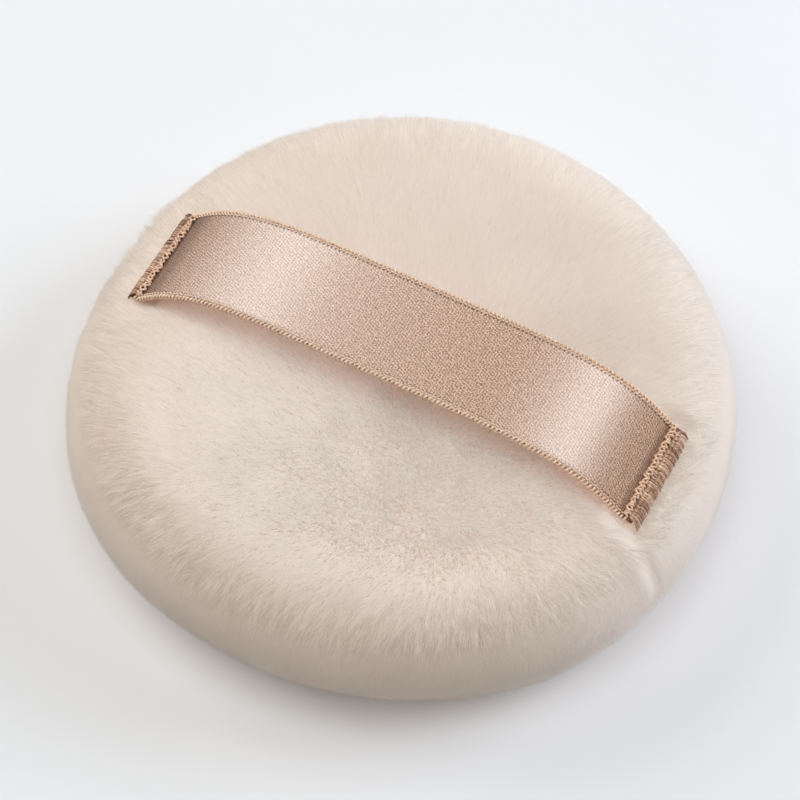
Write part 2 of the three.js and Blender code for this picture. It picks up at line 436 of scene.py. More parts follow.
def closed_rings(
    rings: np.ndarray,
    first: np.ndarray,
    last: np.ndarray,
) -> tuple[np.ndarray, list[np.ndarray]]:
    """Closes a tube of rings with a point in the middle of each end.

    Args:
        rings: Points by ring and segment.
        first: The point in the middle of the first ring.
        last: The point in the middle of the last ring.

    Returns:
        All points, and the faces as one array for each face size.
    """
    rows, columns = rings.shape[:2]
    place = np.arange(columns)
    beside = (place + 1) % columns
    end = (rows - 1) * columns
    middle = np.full(columns, rows * columns)
    caps = [np.stack([middle, place, beside], -1), np.stack([middle + 1, end + beside, end + place], -1)]
    points = np.concatenate([rings.reshape(-1, 3), [first], [last]])
    return points, [strip_faces(rows, columns, closed=True)[:, ::-1], np.concatenate(caps)]


def stations(line: np.ndarray) -> np.ndarray:
    """Each point's distance from the start of a line, along the line."""
    return np.concatenate([[0.0], np.cumsum(np.linalg.norm(np.diff(line, axis=0), axis=1))])


def looked_up(places: np.ndarray, station: np.ndarray, rows: np.ndarray) -> np.ndarray:
    """Rows of numbers at places between the stations that they are known for."""
    return np.stack([np.interp(places, station, column) for column in rows.T], -1)


def waves(places: np.ndarray, length: float, random: np.random.Generator) -> np.ndarray:
    """A smooth random field, as a sum of sine waves.

    Args:
        places: Points in space, one row each.
        length: About how long a wave is.
        random: Where its numbers come from.

    Returns:
        One number for each place, mostly from -1 to 1.
    """
    count = 7
    slowest, quickest = 0.6, 1.5
    ways = unit(random.normal(size=(count, 3))) * (TURN / length)
    ways *= random.uniform(slowest, quickest, size=(count, 1))
    starts = random.uniform(0.0, TURN, size=count)
    return np.sin(places @ ways.T + starts).sum(axis=1) / math.sqrt(count)


@dataclass(frozen=True)
class PileFinish:
    """Soft cream fibre, painted a little warmer and darker towards the backing as the shade deep in the
    pile.
    """

    tip: Colour = srgb(252, 236, 219)
    root: Colour = srgb(244, 227, 212)
    # The colour that strands darken towards, for random unevenness and for painted shade.
    dark_tone_and_shade: Colour = (0.48, 0.39, 0.32)
    tip_from: float = 0.9
    roughness: float = 0.9
    gloss: float = 0.2
    sheen: float = 0.35
    sheen_roughness: float = 0.45

    def make(self) -> bpy.types.Material:
        """Builds the material.

        Returns:
            The material.
        """
        nodes = NodeMaterial("plush_pile")
        # Painted shade: the roots are darker and warmer than the tips, as the shade deep in the pile.
        fibre = nodes.mix(nodes.attribute("rise").ramp(0.0, self.tip_from), self.root, self.tip)
        # Painted shade: each strand's number mixes random unevenness with painted shade of the back, the
        # rim's roll and the wall.
        shade = nodes.mix(nodes.attribute("tone"), self.dark_tone_and_shade, WHITE)
        return nodes.surface(
            Base_Color=nodes.mix(1.0, fibre, shade, "MULTIPLY"),
            Roughness=self.roughness,
            Specular_IOR_Level=self.gloss,
            Sheen_Weight=self.sheen,
            Sheen_Roughness=self.sheen_roughness,
        )


@dataclass(frozen=True)
class BackingFinish:
    """Knitted cloth under the pile, painted darker and warmer than the pile, and darker between its loops,
    as the shade deep in the pile.
    """

    light: Colour = srgb(228, 206, 188)
    dark: Colour = srgb(206, 180, 160)
    loop: float = 0.7 * MM
    roughness: float = 0.95
    relief: float = 0.2 * MM
    relief_strength: float = 0.4

    def make(self) -> bpy.types.Material:
        """Builds the material.

        Returns:
            The material.
        """
        nodes = NodeMaterial("plush_backing")
        knit = nodes.node(
            "ShaderNodeTexVoronoi",
            inputs={"Vector": nodes.place(), "Scale": 1.0 / self.loop},
            output="Distance",
        )
        return nodes.surface(
            Base_Color=nodes.mix(knit, self.light, self.dark),
            Roughness=self.roughness,
            Normal=nodes.bump(knit, self.relief, self.relief_strength),
        )


@dataclass(frozen=True)
class SatinFinish:
    """Rose gold satin with its fine weave and stitch holes along both edges, and painted shade at the sewn
    ends and over the left end.

    The weave is made of ribs, a slanting twill, fine fibres and slubs, each with its weight. Where a
    size ends in share, it is a share of the size that it names.
    """

    hole_line: float
    hole_pitch: float
    sewn_from: float
    light: Colour = srgb(238, 199, 171)
    dark: Colour = srgb(134, 99, 77)
    # The dark brown of the stitch holes, also used for the painted shade.
    hole_and_shade: Colour = srgb(84, 55, 40)
    hole_radius: float = 0.13 * MM
    rib_pitch: float = 0.364 * MM
    twill_along: float = 0.869 * MM
    twill_across: float = 0.402 * MM
    fibre: float = 0.13 * MM
    fibre_stretch: float = 0.7
    slub_fibres: float = 3.0
    slub_stretch: float = 0.5
    wander: float = 9.0
    wander_size: float = 1.0 * MM
    rib_weight: float = 0.17
    twill_weight: float = 0.2
    fibre_weight: float = 2.2
    slub_weight: float = 0.8
    weave_drop: float = 1.0
    hole_core_share: float = 0.4
    hole_rim_share: float = 1.6
    sewn_before: float = 1.4 * MM
    sewn_after: float = 0.4 * MM
    sewn_shade_darkness: float = 0.6
    shade_length: float = 5.0 * MM
    shade_darkness: float = 0.65
    roughness: float = 0.20
    weave_roughness: float = 0.05
    sewn_roughness: float = 0.4
    sewn_shade_metal: float = 0.9
    refraction: float = 2.0
    relief: float = 0.003 * MM
    relief_strength: float = 0.3

    def make(self) -> bpy.types.Material:
        """Builds the material.

        Returns:
            The material.
        """
        nodes = NodeMaterial("rose_gold_satin")
        along = nodes.attribute("along")
        across = nodes.attribute("across")
        wander = self.wander * nodes.noise(nodes.vector(along, across), self.wander_size)
        rib = (along * (TURN / self.rib_pitch) + wander).sine()
        twill = (along * (TURN / self.twill_along) + across * (TURN / self.twill_across) + wander).sine()
        fibres = nodes.noise(nodes.vector(along * self.fibre_stretch, across), self.fibre, 0.0)
        slubs = nodes.noise(nodes.vector(along * self.slub_stretch, across), self.slub_fibres * self.fibre)
        weave = self.rib_weight * rib + self.twill_weight * twill
        weave = weave + self.fibre_weight * fibres + self.slub_weight * slubs - self.weave_drop
        aside = abs(across) - self.hole_line
        away = (aside * aside + along.from_nearest(self.hole_pitch) ** 2.0) ** 0.5
        core = self.hole_core_share * self.hole_radius
        pierced = 1.0 - away.ramp(core, self.hole_rim_share * self.hole_radius)
        # Painted shade: under and beside the sewn ends the satin is darkened, and made rougher and
        # metallic so that its gloss turns dark too.
        sewn = abs(along).ramp(self.sewn_from - self.sewn_before, self.sewn_from + self.sewn_after)
        # Painted shade: the left end is darkened as if in the shade of the roll of plush beside it.
        shaded = (0.0 - along).ramp(self.sewn_from - self.shade_length, self.sewn_from)
        cloth = nodes.mix(weave, self.dark, self.light)
        cloth = nodes.mix(sewn * self.sewn_shade_darkness, cloth, self.hole_and_shade)
        cloth = nodes.mix(shaded * self.shade_darkness, cloth, self.hole_and_shade)
        uneven = self.weave_roughness * weave.ramp(0.0, 1.0)
        return nodes.surface(
            Base_Color=nodes.mix(pierced, cloth, self.hole_and_shade),
            Roughness=self.roughness + uneven + self.sewn_roughness * sewn,
            Metallic=self.sewn_shade_metal * sewn,
            IOR=self.refraction,
            Normal=nodes.bump(weave, self.relief, self.relief_strength),
        )


@dataclass(frozen=True)
class ThreadFinish:
    """Twisted lustrous thread.

    The mesh keeps each point's place along and round the thread, and its tone.
    """

    name: str
    light: Colour
    dark: Colour
    ply_pitch: float = 0.55 * MM
    plies: float = 2.0
    ply_weight: float = 0.12
    wear_size: float = 0.5 * MM
    wear_weight: float = 0.4
    tone_drop: float = 0.2
    roughness: float = 0.26
    wear_roughness: float = 0.12
    gloss: float = 0.6
    relief: float = 0.03 * MM
    relief_strength: float = 0.5

    def make(self) -> bpy.types.Material:
        """Builds the material.

        Returns:
            The material.
        """
        nodes = NodeMaterial(self.name)
        twist = nodes.attribute("along") * (TURN / self.ply_pitch)
        ply = (twist + nodes.attribute("around") * (self.plies * TURN)).sine()
        worn = nodes.noise(nodes.place(), self.wear_size)
        tone = nodes.attribute("tone")
        share = self.ply_weight * ply + self.wear_weight * worn + tone - self.tone_drop
        return nodes.surface(
            Base_Color=nodes.mix(share.ramp(0.0, 1.0), self.dark, self.light),
            Roughness=self.roughness + self.wear_roughness * worn,
            Specular_IOR_Level=self.gloss,
            Normal=nodes.bump(ply, self.relief, self.relief_strength),
        )


OVERLOCK_THREAD = ThreadFinish("overlock_thread", light=srgb(252, 221, 193), dark=srgb(134, 87, 58))
TACK_THREAD = ThreadFinish("tack_thread", light=srgb(252, 214, 183), dark=srgb(130, 81, 53))
SEAM_THREAD = ThreadFinish("cream_thread", light=srgb(236, 222, 207), dark=srgb(214, 196, 178))


@dataclass(frozen=True)
class FoamFinish:
    """Open-cell sponge with small pores, painted darker inside as the shade in them."""

    light: Colour = srgb(247, 236, 214)
    # Painted shade inside the pores.
    pore_shade: Colour = srgb(206, 184, 150)
    cell: float = 0.6 * MM
    pore_edge: float = 0.15
    wall_edge: float = 0.5
    roughness: float = 0.95
    relief: float = 0.3 * MM
    relief_strength: float = 0.7

    def make(self) -> bpy.types.Material:
        """Builds the material.

        Returns:
            The material.
        """
        nodes = NodeMaterial("sponge")
        cells = nodes.node(
            "ShaderNodeTexVoronoi",
            inputs={"Vector": nodes.place(), "Scale": 1.0 / self.cell},
            output="Distance",
        )
        wall = cells.ramp(self.pore_edge, self.wall_edge)
        return nodes.surface(
            Base_Color=nodes.mix(wall, self.pore_shade, self.light),
            Roughness=self.roughness,
            Normal=nodes.bump(wall, self.relief, self.relief_strength),
        )


@dataclass(frozen=True)
class FloorFinish:
    """Plain pale paper, which the camera sees fade into a white backdrop further away."""

    light: Colour = srgb(243, 243, 242)
    dark: Colour = srgb(239, 239, 238)
    grain_size: float = 0.05
    roughness: float = 0.95
    fade_start: float = 0.12
    fade_end: float = 0.5

    def make(self) -> bpy.types.Material:
        """Builds the material.

        Returns:
            The material.
        """
        nodes = NodeMaterial("pale_paper")
        place = nodes.place()
        grain = nodes.mix(nodes.noise(place, self.grain_size), self.light, self.dark)
        looks = {"Base Color": grain, "Roughness": self.roughness}
        paper = nodes.node("ShaderNodeBsdfPrincipled", inputs=looks)
        backdrop = nodes.node("ShaderNodeEmission", inputs={"Color": (*WHITE, 1.0)})
        away = nodes.node("ShaderNodeVectorMath", {"operation": "LENGTH"}, {0: place}, output="Value")
        share = away.ramp(self.fade_start, self.fade_end) * nodes.seen()
        ground = nodes.node("ShaderNodeMixShader", inputs={0: share, 1: paper, 2: backdrop})
        nodes.end("ShaderNodeOutputMaterial", ground)
        return nodes.material


@dataclass(frozen=True)
class Swell:
    """A stretch of the rim that is stuffed fuller, or less full, than the rest.

    Azimuth and width are in degrees, round from +X towards +Y.
    """

    azimuth: float
    width: float
    height: float


SWELLS = (
    Swell(-30.0, 20.0, 0.5 * MM),
    Swell(-92.0, 16.0, -0.6 * MM),
    Swell(-68.0, 20.0, -0.45 * MM),
    Swell(-130.0, 22.0, 0.45 * MM),
    Swell(176.0, 20.0, -0.8 * MM),
    Swell(105.0, 50.0, 0.5 * MM),
)


@dataclass(frozen=True)
class PadForm:
    """Shape of the pad's outer surface, as the CAD panels have it, with creases at the sewn ends.

    The offsets of the crease and the bulge, and the bulge's width, are in widths of the crease.
    """

    radius: float
    rim_height: float
    crown_height: float
    tab_end: float
    ribbon_width: float
    crown_power: float = 6.0
    face_rounding: float = 18.0 * MM
    ribbon_margin: float = 8.0 * MM
    sewn_depth: float = 0.9 * MM
    fullness: float = 0.42 * MM
    fuller_from: float = 28.0 * MM
    fullest_from: float = 37.0 * MM
    fullest_to: float = 50.0 * MM
    fuller_to: float = 60.0 * MM
    pinch_margin: float = 0.4 * MM
    pinch_fade: float = 1.7 * MM
    roll_height: float = 0.6 * MM
    roll_width: float = 1.1 * MM
    roll_distance: float = 1.7 * MM
    roll_fade: float = 5.0 * MM
    crease_depth: float = 0.42 * MM
    crease_width: float = 0.75 * MM
    crease_spread: float = 0.42
    crease_end: float = 4.0 * MM
    back_crease: float = 0.1
    crease_offset: float = 0.4
    bulge: float = 0.22 * MM
    bulge_offset: float = 2.6
    bulge_width: float = 1.8
    fine_steps: int = 400
    face_steps: int = 100
    rings: int = 150
    segments: int = 360

    @classmethod
    def from_frame(cls) -> "PadForm":
        """Takes the sizes that the CAD nodes show.

        Returns:
            The form.
        """
        low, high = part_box("top_panel")
        face_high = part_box("face_panel")[1]
        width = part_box("ribbon_edge_back")[1].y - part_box("ribbon_edge_front")[0].y
        return cls(high.y, (low.z + face_high.z) / 2, high.z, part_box("ribbon_band")[1].x, width)

    @property
    def half_span(self) -> float:
        """Distance from the middle to where the ribbon meets the pad."""
        return self.radius - self.ribbon_margin

    def crown(self, reach: np.ndarray | float) -> np.ndarray | float:
        """Height of the free crown over a distance from the axis."""
        rise = self.crown_height - self.rim_height
        return self.rim_height + rise * np.sqrt(1.0 - (reach / self.radius) ** self.crown_power)

    @property
    def tab_slope(self) -> float:
        """Slope of the crown where the ribbon's ends are sewn down.

        Returns:
            The crown's fall for each metre outwards.
        """
        step = 0.3 * MM
        fall = float(self.crown(self.half_span - step) - self.crown(self.half_span + step))
        return fall / (2.0 * step)

    def seat(self, along: np.ndarray | float) -> np.ndarray | float:
        """Height of the pile under a sewn end, over a distance along the ribbon."""
        return self.crown(self.half_span) - self.sewn_depth - self.tab_slope * (along - self.half_span)

    def profile(self) -> tuple[np.ndarray, np.ndarray]:
        """Evenly spaced points from the crown's middle round to the face's middle.

        Returns:
            Pairs of radius and height, and the distance of each along the profile.
        """
        fine = np.linspace(0.0, 0.5 * math.pi, self.fine_steps)
        rise = self.crown_height - self.rim_height
        reach = self.radius * np.sin(fine) ** (2.0 / self.crown_power)
        over = [reach, self.rim_height + rise * np.cos(fine)]
        flat = self.radius - self.face_rounding
        under = [flat + self.face_rounding * np.cos(fine), self.rim_height * (1.0 - np.sin(fine))]
        face = [np.linspace(flat, 0.0, self.face_steps), np.zeros(self.face_steps)]
        line = np.concatenate([np.stack(part, -1) for part in (over, under, face)])
        station = stations(line)
        even = np.linspace(0.0, station[-1], self.rings)
        return looked_up(even, station, line), even

    def pull_across(self, across: np.ndarray) -> np.ndarray:
        """Share of a sewn end's pull at a distance from the ribbon's middle line."""
        half = self.ribbon_width / 2 + self.pinch_margin
        return 1.0 - smoothstep(np.abs(across), half, half + self.pinch_fade)

    def pulled(self, points: np.ndarray, normals: np.ndarray) -> np.ndarray:
        """Presses the pile under the sewn ends and creases it beyond them.

        Args:
            points: Places on the free surface.
            normals: The free surface's normals there.

        Returns:
            The places on the sewn surface.
        """
        made = points.copy()
        along = np.abs(points[..., 0])
        across = np.abs(points[..., 1])
        pull = self.pull_across(across)
        inner_edge = self.half_span - self.pinch_margin
        outer_edge = self.tab_end + self.pinch_margin
        inner = smoothstep(along, inner_edge - self.pinch_fade, inner_edge)
        outer = 1.0 - smoothstep(along, outer_edge, outer_edge + self.pinch_fade)
        above = smoothstep(points[..., 2], self.rim_height, self.rim_height + self.crease_end)
        pressed = np.minimum(points[..., 2], self.seat(along))
        made[..., 2] += (pressed - points[..., 2]) * inner * outer * pull * above
        half = self.ribbon_width / 2
        roll = np.exp(-(((along - self.tab_end - self.roll_distance) / self.roll_width) ** 2))
        roll *= 1.0 - smoothstep(across, half - self.pinch_fade, half + self.roll_fade)
        line = half + self.crease_offset * self.crease_width
        line = line + self.crease_spread * (along - self.half_span)
        valley = np.exp(-(((across - line) / self.crease_width) ** 2))
        aside = across - line - self.bulge_offset * self.crease_width
        hill = np.exp(-((aside / (self.bulge_width * self.crease_width)) ** 2))
        reach = smoothstep(along, self.half_span - self.pinch_fade, self.tab_end)
        reach *= np.where(points[..., 1] < 0.0, 1.0, self.back_crease)
        lift = self.roll_height * roll + reach * (self.bulge * hill - self.crease_depth * valley)
        return made + (above * lift)[..., None] * normals

    def turned(self, line: np.ndarray) -> np.ndarray:
        """Turns a profile about the axis.

        Args:
            line: Pairs of radius and height.

        Returns:
            Points by ring and segment.
        """
        turn = TURN * np.arange(self.segments) / self.segments
        reach = line[:, 0, None]
        height = np.repeat(line[:, 1, None], self.segments, axis=1)
        return np.stack([reach * np.cos(turn), reach * np.sin(turn), height], -1)

    def surface(self) -> tuple[np.ndarray, np.ndarray, np.ndarray]:
        """The sewn pad's surface as rings of points.

        Returns:
            Points and normals by ring and segment, and each ring's distance along the profile.
        """
        line, station = self.profile()
        points = self.turned(line)
        normals = self.normals(points)
        at_rim = smoothstep(station, self.fuller_from, self.fullest_from)
        at_rim *= 1.0 - smoothstep(station, self.fullest_to, self.fuller_to)
        turn = 360.0 * np.arange(self.segments) / self.segments
        swell = np.full(self.segments, self.fullness)
        for stretch in SWELLS:
            aside = (turn - stretch.azimuth + 180.0) % 360.0 - 180.0
            swell += stretch.height * np.exp(-((aside / stretch.width) ** 2))
        points += (at_rim[:, None] * swell)[..., None] * normals
        made = self.pulled(points, normals)
        return made, self.normals(made), station

    @staticmethod
    def normals(points: np.ndarray) -> np.ndarray:
        """Outward normals of a surface.

        Args:
            points: The surface's points by ring and segment.

        Returns:
            The normals by ring and segment.
        """
        down = np.gradient(points, axis=0)
        around = np.roll(points, -1, axis=1) - np.roll(points, 1, axis=1)
        found = unit(np.cross(down, around))
        found[0] = (0.0, 0.0, 1.0)
        found[-1] = (0.0, 0.0, -1.0)
        return found


@dataclass(frozen=True)
class RibbonLine:
    """Middle line of the finger ribbon, as the CAD band has it."""

    half_span: float
    tab_end: float
    tab_height: float
    tab_slope: float
    rise: float
    press: float
    power: float = 5.15
    fold: float = 0.10 * MM
    foot: float = 2.0 * MM
    fine_steps: int = 4001

    @classmethod
    def from_frame(cls, form: PadForm) -> "RibbonLine":
        """Takes the sizes that the CAD nodes and the joint show.

        Args:
            form: The pad that the ribbon is sewn to.

        Returns:
            The line.
        """
        half_thickness = 0.25 * MM
        clearance = 0.3 * MM
        tab_height = float(form.seat(form.half_span)) + clearance + half_thickness
        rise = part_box("ribbon_band")[1].z - half_thickness - tab_height
        press = -frame["joints"][0]["range_m"][0]
        return cls(form.half_span, form.tab_end, tab_height, form.tab_slope, rise, press)

    def height(self, along: np.ndarray) -> np.ndarray:
        """Height of the line.

        Args:
            along: Distances from the ribbon's middle, level with the floor.

        Returns:
            The height there.
        """
        reach = np.abs(along)
        arch = self.tab_height + self.rise * (1.0 - (reach / self.half_span) ** self.power)
        tab = self.tab_height - self.tab_slope * (reach - self.half_span)
        foot = self.fold * np.logaddexp(arch / self.fold, tab / self.fold)
        return np.where(reach < self.half_span - self.foot, arch, foot)

    def lowest(self, along: np.ndarray) -> np.ndarray:
        """Height of the line when a finger presses the ribbon down as far as it goes."""
        height = self.height(along)
        return height - self.press * smoothstep(height, self.tab_height, self.tab_height + self.rise)

    def points(self, end: float, steps: int) -> tuple[np.ndarray, np.ndarray, np.ndarray]:
        """Evenly spaced points of the line.

        Args:
            end: How far from the middle it goes on both sides.
            steps: How many points.

        Returns:
            The points, the normals there and each one's distance from the line's middle.
        """
        fine = np.linspace(-end, end, self.fine_steps)
        run = np.stack([fine, np.zeros_like(fine), self.height(fine)], -1)
        station = stations(run)
        even = np.linspace(0.0, station[-1], steps)
        line = looked_up(even, station, run)
        along = unit(np.gradient(line, axis=0))
        normals = np.stack([-along[:, 2], np.zeros(steps), along[:, 0]], -1)
        return line, normals, even - station[-1] / 2


@dataclass(frozen=True)
class PileCut:
    """How the pile is cut and lies at one distance from the crown's middle, along the profile.

    Lengths are in metres, the lean from the surface's normal is in degrees, density is in strands
    for each square millimetre, tuft is the share by which tips draw together, contrast is how far one
    strand's lightness differs from the next one's, and the last column is how light they are at the
    front: painted shade, darker over the rim's roll and down the wall.
    """

    reach: float
    depth: float
    length: float
    lean: float
    density: float
    width: float
    tuft: float
    contrast: float
    tone: float


PILE = (
    PileCut(0.0 * MM, 1.3 * MM, 2.4 * MM, 22.0, 50.0, 0.10 * MM, 0.25, 0.035, 1.0),
    PileCut(26.0 * MM, 1.3 * MM, 2.4 * MM, 26.0, 50.0, 0.10 * MM, 0.3, 0.04, 0.99),
    PileCut(30.5 * MM, 1.3 * MM, 2.7 * MM, 38.0, 50.0, 0.10 * MM, 0.45, 0.07, 0.93),
    PileCut(34.0 * MM, 1.3 * MM, 3.1 * MM, 50.0, 52.0, 0.10 * MM, 0.55, 0.20, 0.69),
    PileCut(36.8 * MM, 1.25 * MM, 3.3 * MM, 60.0, 50.0, 0.11 * MM, 0.6, 0.26, 0.64),
    PileCut(38.4 * MM, 0.95 * MM, 2.4 * MM, 64.0, 48.0, 0.10 * MM, 0.45, 0.14, 0.63),
    PileCut(40.0 * MM, 0.5 * MM, 1.3 * MM, 64.0, 60.0, 0.10 * MM, 0.1, 0.02, 0.67),
    PileCut(46.0 * MM, 0.4 * MM, 1.3 * MM, 60.0, 60.0, 0.10 * MM, 0.05, 0.015, 0.69),
    PileCut(54.0 * MM, 0.4 * MM, 1.3 * MM, 58.0, 55.0, 0.10 * MM, 0.05, 0.015, 0.71),
    PileCut(62.0 * MM, 0.6 * MM, 1.4 * MM, 50.0, 26.0, 0.09 * MM, 0.1, 0.03, 0.785),
    PileCut(100.0 * MM, 1.0 * MM, 1.6 * MM, 45.0, 12.0, 0.11 * MM, 0.1, 0.05, 0.785),
)


@dataclass
class Strands:
    """The pile's strands, each a fine three-sided spike: three points round its root, then its tip."""

    points: np.ndarray
    facing: np.ndarray
    tone: np.ndarray
    on_top: np.ndarray

    def chosen(self, part: np.ndarray) -> "Strands":
        """Some of the strands, by number."""
        return Strands(self.points[part], self.facing[part], self.tone[part], self.on_top[part])


@dataclass
class PlushCover:
    """Both plush panels: their knitted backing and their pile, strand by strand.

    Swirl is a strand's turn aside from the way outwards, in radians, and lean is in degrees. Both
    differ in patches, whose sizes are given, and from strand to strand. Each strand's lightness
    differs at random in the same ways and from tuft to tuft. It also holds painted shade: it changes
    from the darker back to the lighter front of the puff over front_depth, which grows by front_extra
    between two distances along the profile, and through the table it is darker over the rim's roll and
    down the wall. Room is kept free of strands round the ribbon.
    """

    form: PadForm
    ribbon: RibbonLine
    backing: bpy.types.Material
    pile: bpy.types.Material
    cloth: float = 0.9 * MM
    roundness: float = 0.5
    strands_in_piece: int = 62000
    strands_in_tuft: int = 9
    wide_swirl: float = 0.3
    wide_swirl_size: float = 18.0 * MM
    fine_swirl: float = 0.2
    fine_swirl_size: float = 5.0 * MM
    strand_swirl: float = 0.3
    patch_lean: float = 4.0
    patch_lean_size: float = 7.0 * MM
    strand_lean: float = 8.0
    shortest: float = 0.8
    longest: float = 1.06
    root_tilt: float = 0.3
    floor_gap: float = 0.05 * MM
    # Painted shade: strands at the back are darker than those at the front.
    back_shade_tone: float = 0.79
    front_depth: float = 12.0 * MM
    front_extra: float = 21.0 * MM
    front_extra_from: float = 24.0 * MM
    front_extra_to: float = 34.0 * MM
    uneven_scale: float = 1.6
    uneven_mean: float = 1.28
    back_contrast: float = 0.7
    strand_contrast: float = 0.9
    tuft_contrast: float = 0.4
    patch_contrast: float = 0.02
    patch_size: float = 9.0 * MM
    room_beside: float = 0.5 * MM
    room_beyond: float = 0.9 * MM
    room_below: float = 0.4 * MM
    least_rise: float = 0.001 * MM
    least_share: float = 0.08

    def build(self) -> Iterator[bpy.types.Object]:
        """Builds the backing and the pile of both panels.

        Yields:
            Each piece.
        """
        points, normals, station = self.form.surface()
        roots = points - self.cut_at(station, "depth")[:, None, None] * normals
        rim = int(np.argmax(self.form.profile()[0][:, 0]))
        panels = {
            "top_panel": self.panel("top_panel", roots[: rim + 1], normals[: rim + 1]),
            "face_panel": self.panel("face_panel", roots[rim:], normals[rim:]),
        }
        pile = {"top_panel": [], "face_panel": []}
        strands = self.grown(roots, normals, station)
        for node, chosen in (("top_panel", strands.on_top), ("face_panel", ~strands.on_top)):
            tips = strands.points[chosen, -1]
            order = np.flatnonzero(chosen)[np.argsort(np.arctan2(tips[:, 1], tips[:, 0]))]
            parts = np.array_split(order, math.ceil(len(order) / self.strands_in_piece))
            for number, part in enumerate(parts, 1):
                piece = self.tied(f"{node}_pile_{number}", strands.chosen(part))
                pile[node].append(piece)
                yield piece
        for node, piece in panels.items():
            across = 2.0 * (station[rim] if node == "top_panel" else station[-1] - station[rim])
            math.pi / 4 * across**2
            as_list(pile[node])
            yield piece

    def panel(self, node: str, roots: np.ndarray, normals: np.ndarray) -> bpy.types.Object:
        """Builds the knitted backing of one panel as a thin closed shell.

        Args:
            node: The CAD node that it stands for.
            roots: Rings of points where the pile starts.
            normals: The outward normals there.

        Returns:
            The backing.
        """
        top = node == "top_panel"
        outer, facing = (roots, normals) if top else (roots[::-1], normals[::-1])
        inner = outer - self.cloth * facing
        loop = np.concatenate([outer[1:], inner[:0:-1]])
        points, faces = closed_rings(loop, outer[0, 0], inner[0, 0])
        if not top:
            faces = [rows[:, ::-1] for rows in faces]
        piece = mesh_object(f"{node}_backing", points, faces)
        dress(piece, self.backing, Slot.PLUSH)
        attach(piece, Body.PUFF.value)
        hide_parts(node)
        return piece

    @staticmethod
    def cut_at(reach: np.ndarray, name: str) -> np.ndarray:
        """One of the pile's numbers, at distances along the profile."""
        return np.interp(reach, [cut.reach for cut in PILE], [getattr(cut, name) for cut in PILE])

    def grown(self, roots: np.ndarray, normals: np.ndarray, station: np.ndarray) -> Strands:
        """Plants the pile on the backing and grows every strand.

        Args:
            roots: Rings of points where the pile starts.
            normals: The outward normals there.
            station: Each ring's distance along the profile.

        Returns:
            The strands.
        """
        random = np.random.default_rng(SEED)
        columns = roots.shape[1]
        beside = np.roll(roots, -1, axis=1)
        area = np.linalg.norm(np.cross(roots[1:] - roots[:-1], beside[1:] - roots[:-1]), axis=-1)
        density = self.cut_at((station[1:] + station[:-1]) / 2, "density") / MM**2
        sums = np.cumsum((area * density[:, None]).ravel())
        count = int(sums[-1])
        picks = np.searchsorted(sums, random.uniform(0.0, sums[-1], count))
        ring, segment = np.divmod(np.minimum(picks, len(sums) - 1), columns)
        down = random.uniform(size=(count, 1))
        around = random.uniform(size=(count, 1))
        after = (segment + 1) % columns

        def between(grid: np.ndarray) -> np.ndarray:
            """Looks up the strands' roots.

            Args:
                grid: Values by ring and segment.

            Returns:
                The value at each root.
            """
            first = grid[ring, segment] * (1.0 - around) + grid[ring, after] * around
            second = grid[ring + 1, segment] * (1.0 - around) + grid[ring + 1, after] * around
            return first * (1.0 - down) + second * down

        root = between(roots)
        normal = unit(between(normals))
        reach = (station[ring, None] * (1.0 - down) + station[ring + 1, None] * down)[:, 0]
        slope = roots[ring + 1, segment] - roots[ring, segment]
        slope = unit(slope - (slope * normal).sum(1, keepdims=True) * normal)
        side = np.cross(normal, slope)
        swirl = self.wide_swirl * waves(root, self.wide_swirl_size, random)
        swirl += self.fine_swirl * waves(root, self.fine_swirl_size, random)
        swirl += random.normal(0.0, self.strand_swirl, count)
        ahead = np.cos(swirl)[:, None] * slope + np.sin(swirl)[:, None] * side
        lean = self.cut_at(reach, "lean") + self.patch_lean * waves(root, self.patch_lean_size, random)
        lean = np.radians(lean + random.normal(0.0, self.strand_lean, count))[:, None]
        length = self.cut_at(reach, "length") * random.uniform(self.shortest, self.longest, count)
        tip = root + length[:, None] * (np.cos(lean) * normal + np.sin(lean) * ahead)
        leader = self.tuft_leaders(root, random)
        tuft = self.cut_at(reach, "tuft")
        tip += tuft[:, None] * (tip[leader] - tip)
        tip = self.under_ribbon(root, tip)
        tip[:, 2] = np.maximum(tip[:, 2], self.floor_gap)
        axis = unit(tip - root)
        first = unit(np.cross(axis, side + self.root_tilt * normal))
        second = np.cross(axis, first)
        turn = random.uniform(0.0, TURN, (count, 1)) + TURN / 3.0 * np.arange(3)
        spread = np.cos(turn)[..., None] * first[:, None] + np.sin(turn)[..., None] * second[:, None]
        foot = root[:, None] + 0.5 * self.cut_at(reach, "width")[:, None, None] * spread
        facing = unit(self.roundness * spread + normal[:, None])
        at_tip = self.normal_below(tip, reach + ((tip - root) * slope).sum(1), normals, station)
        return Strands(
            points=np.concatenate([foot, tip[:, None]], 1),
            facing=np.concatenate([facing, at_tip[:, None]], 1),
            tone=self.tone(root, reach, leader, random),
            on_top=root[:, 2] >= self.form.rim_height,
        )

    @staticmethod
    def normal_below(
        tip: np.ndarray,
        reach: np.ndarray,
        normals: np.ndarray,
        station: np.ndarray,
    ) -> np.ndarray:
        """The pad's normals under the strands' tips.

        Args:
            tip: The tips.
            reach: Their distance along the profile.
            normals: Rings of the pad's normals.
            station: Each ring's distance along the profile.

        Returns:
            One normal for each tip.
        """
        columns = normals.shape[1]
        turn = np.arctan2(tip[:, 1], tip[:, 0]) / TURN
        segment = np.round(turn * columns).astype(int) % columns
        place = np.interp(reach, station, np.arange(len(station)))
        ring = np.minimum(place.astype(int), len(station) - 2)
        share = (place - ring)[:, None]
        return unit(normals[ring, segment] * (1.0 - share) + normals[ring + 1, segment] * share)

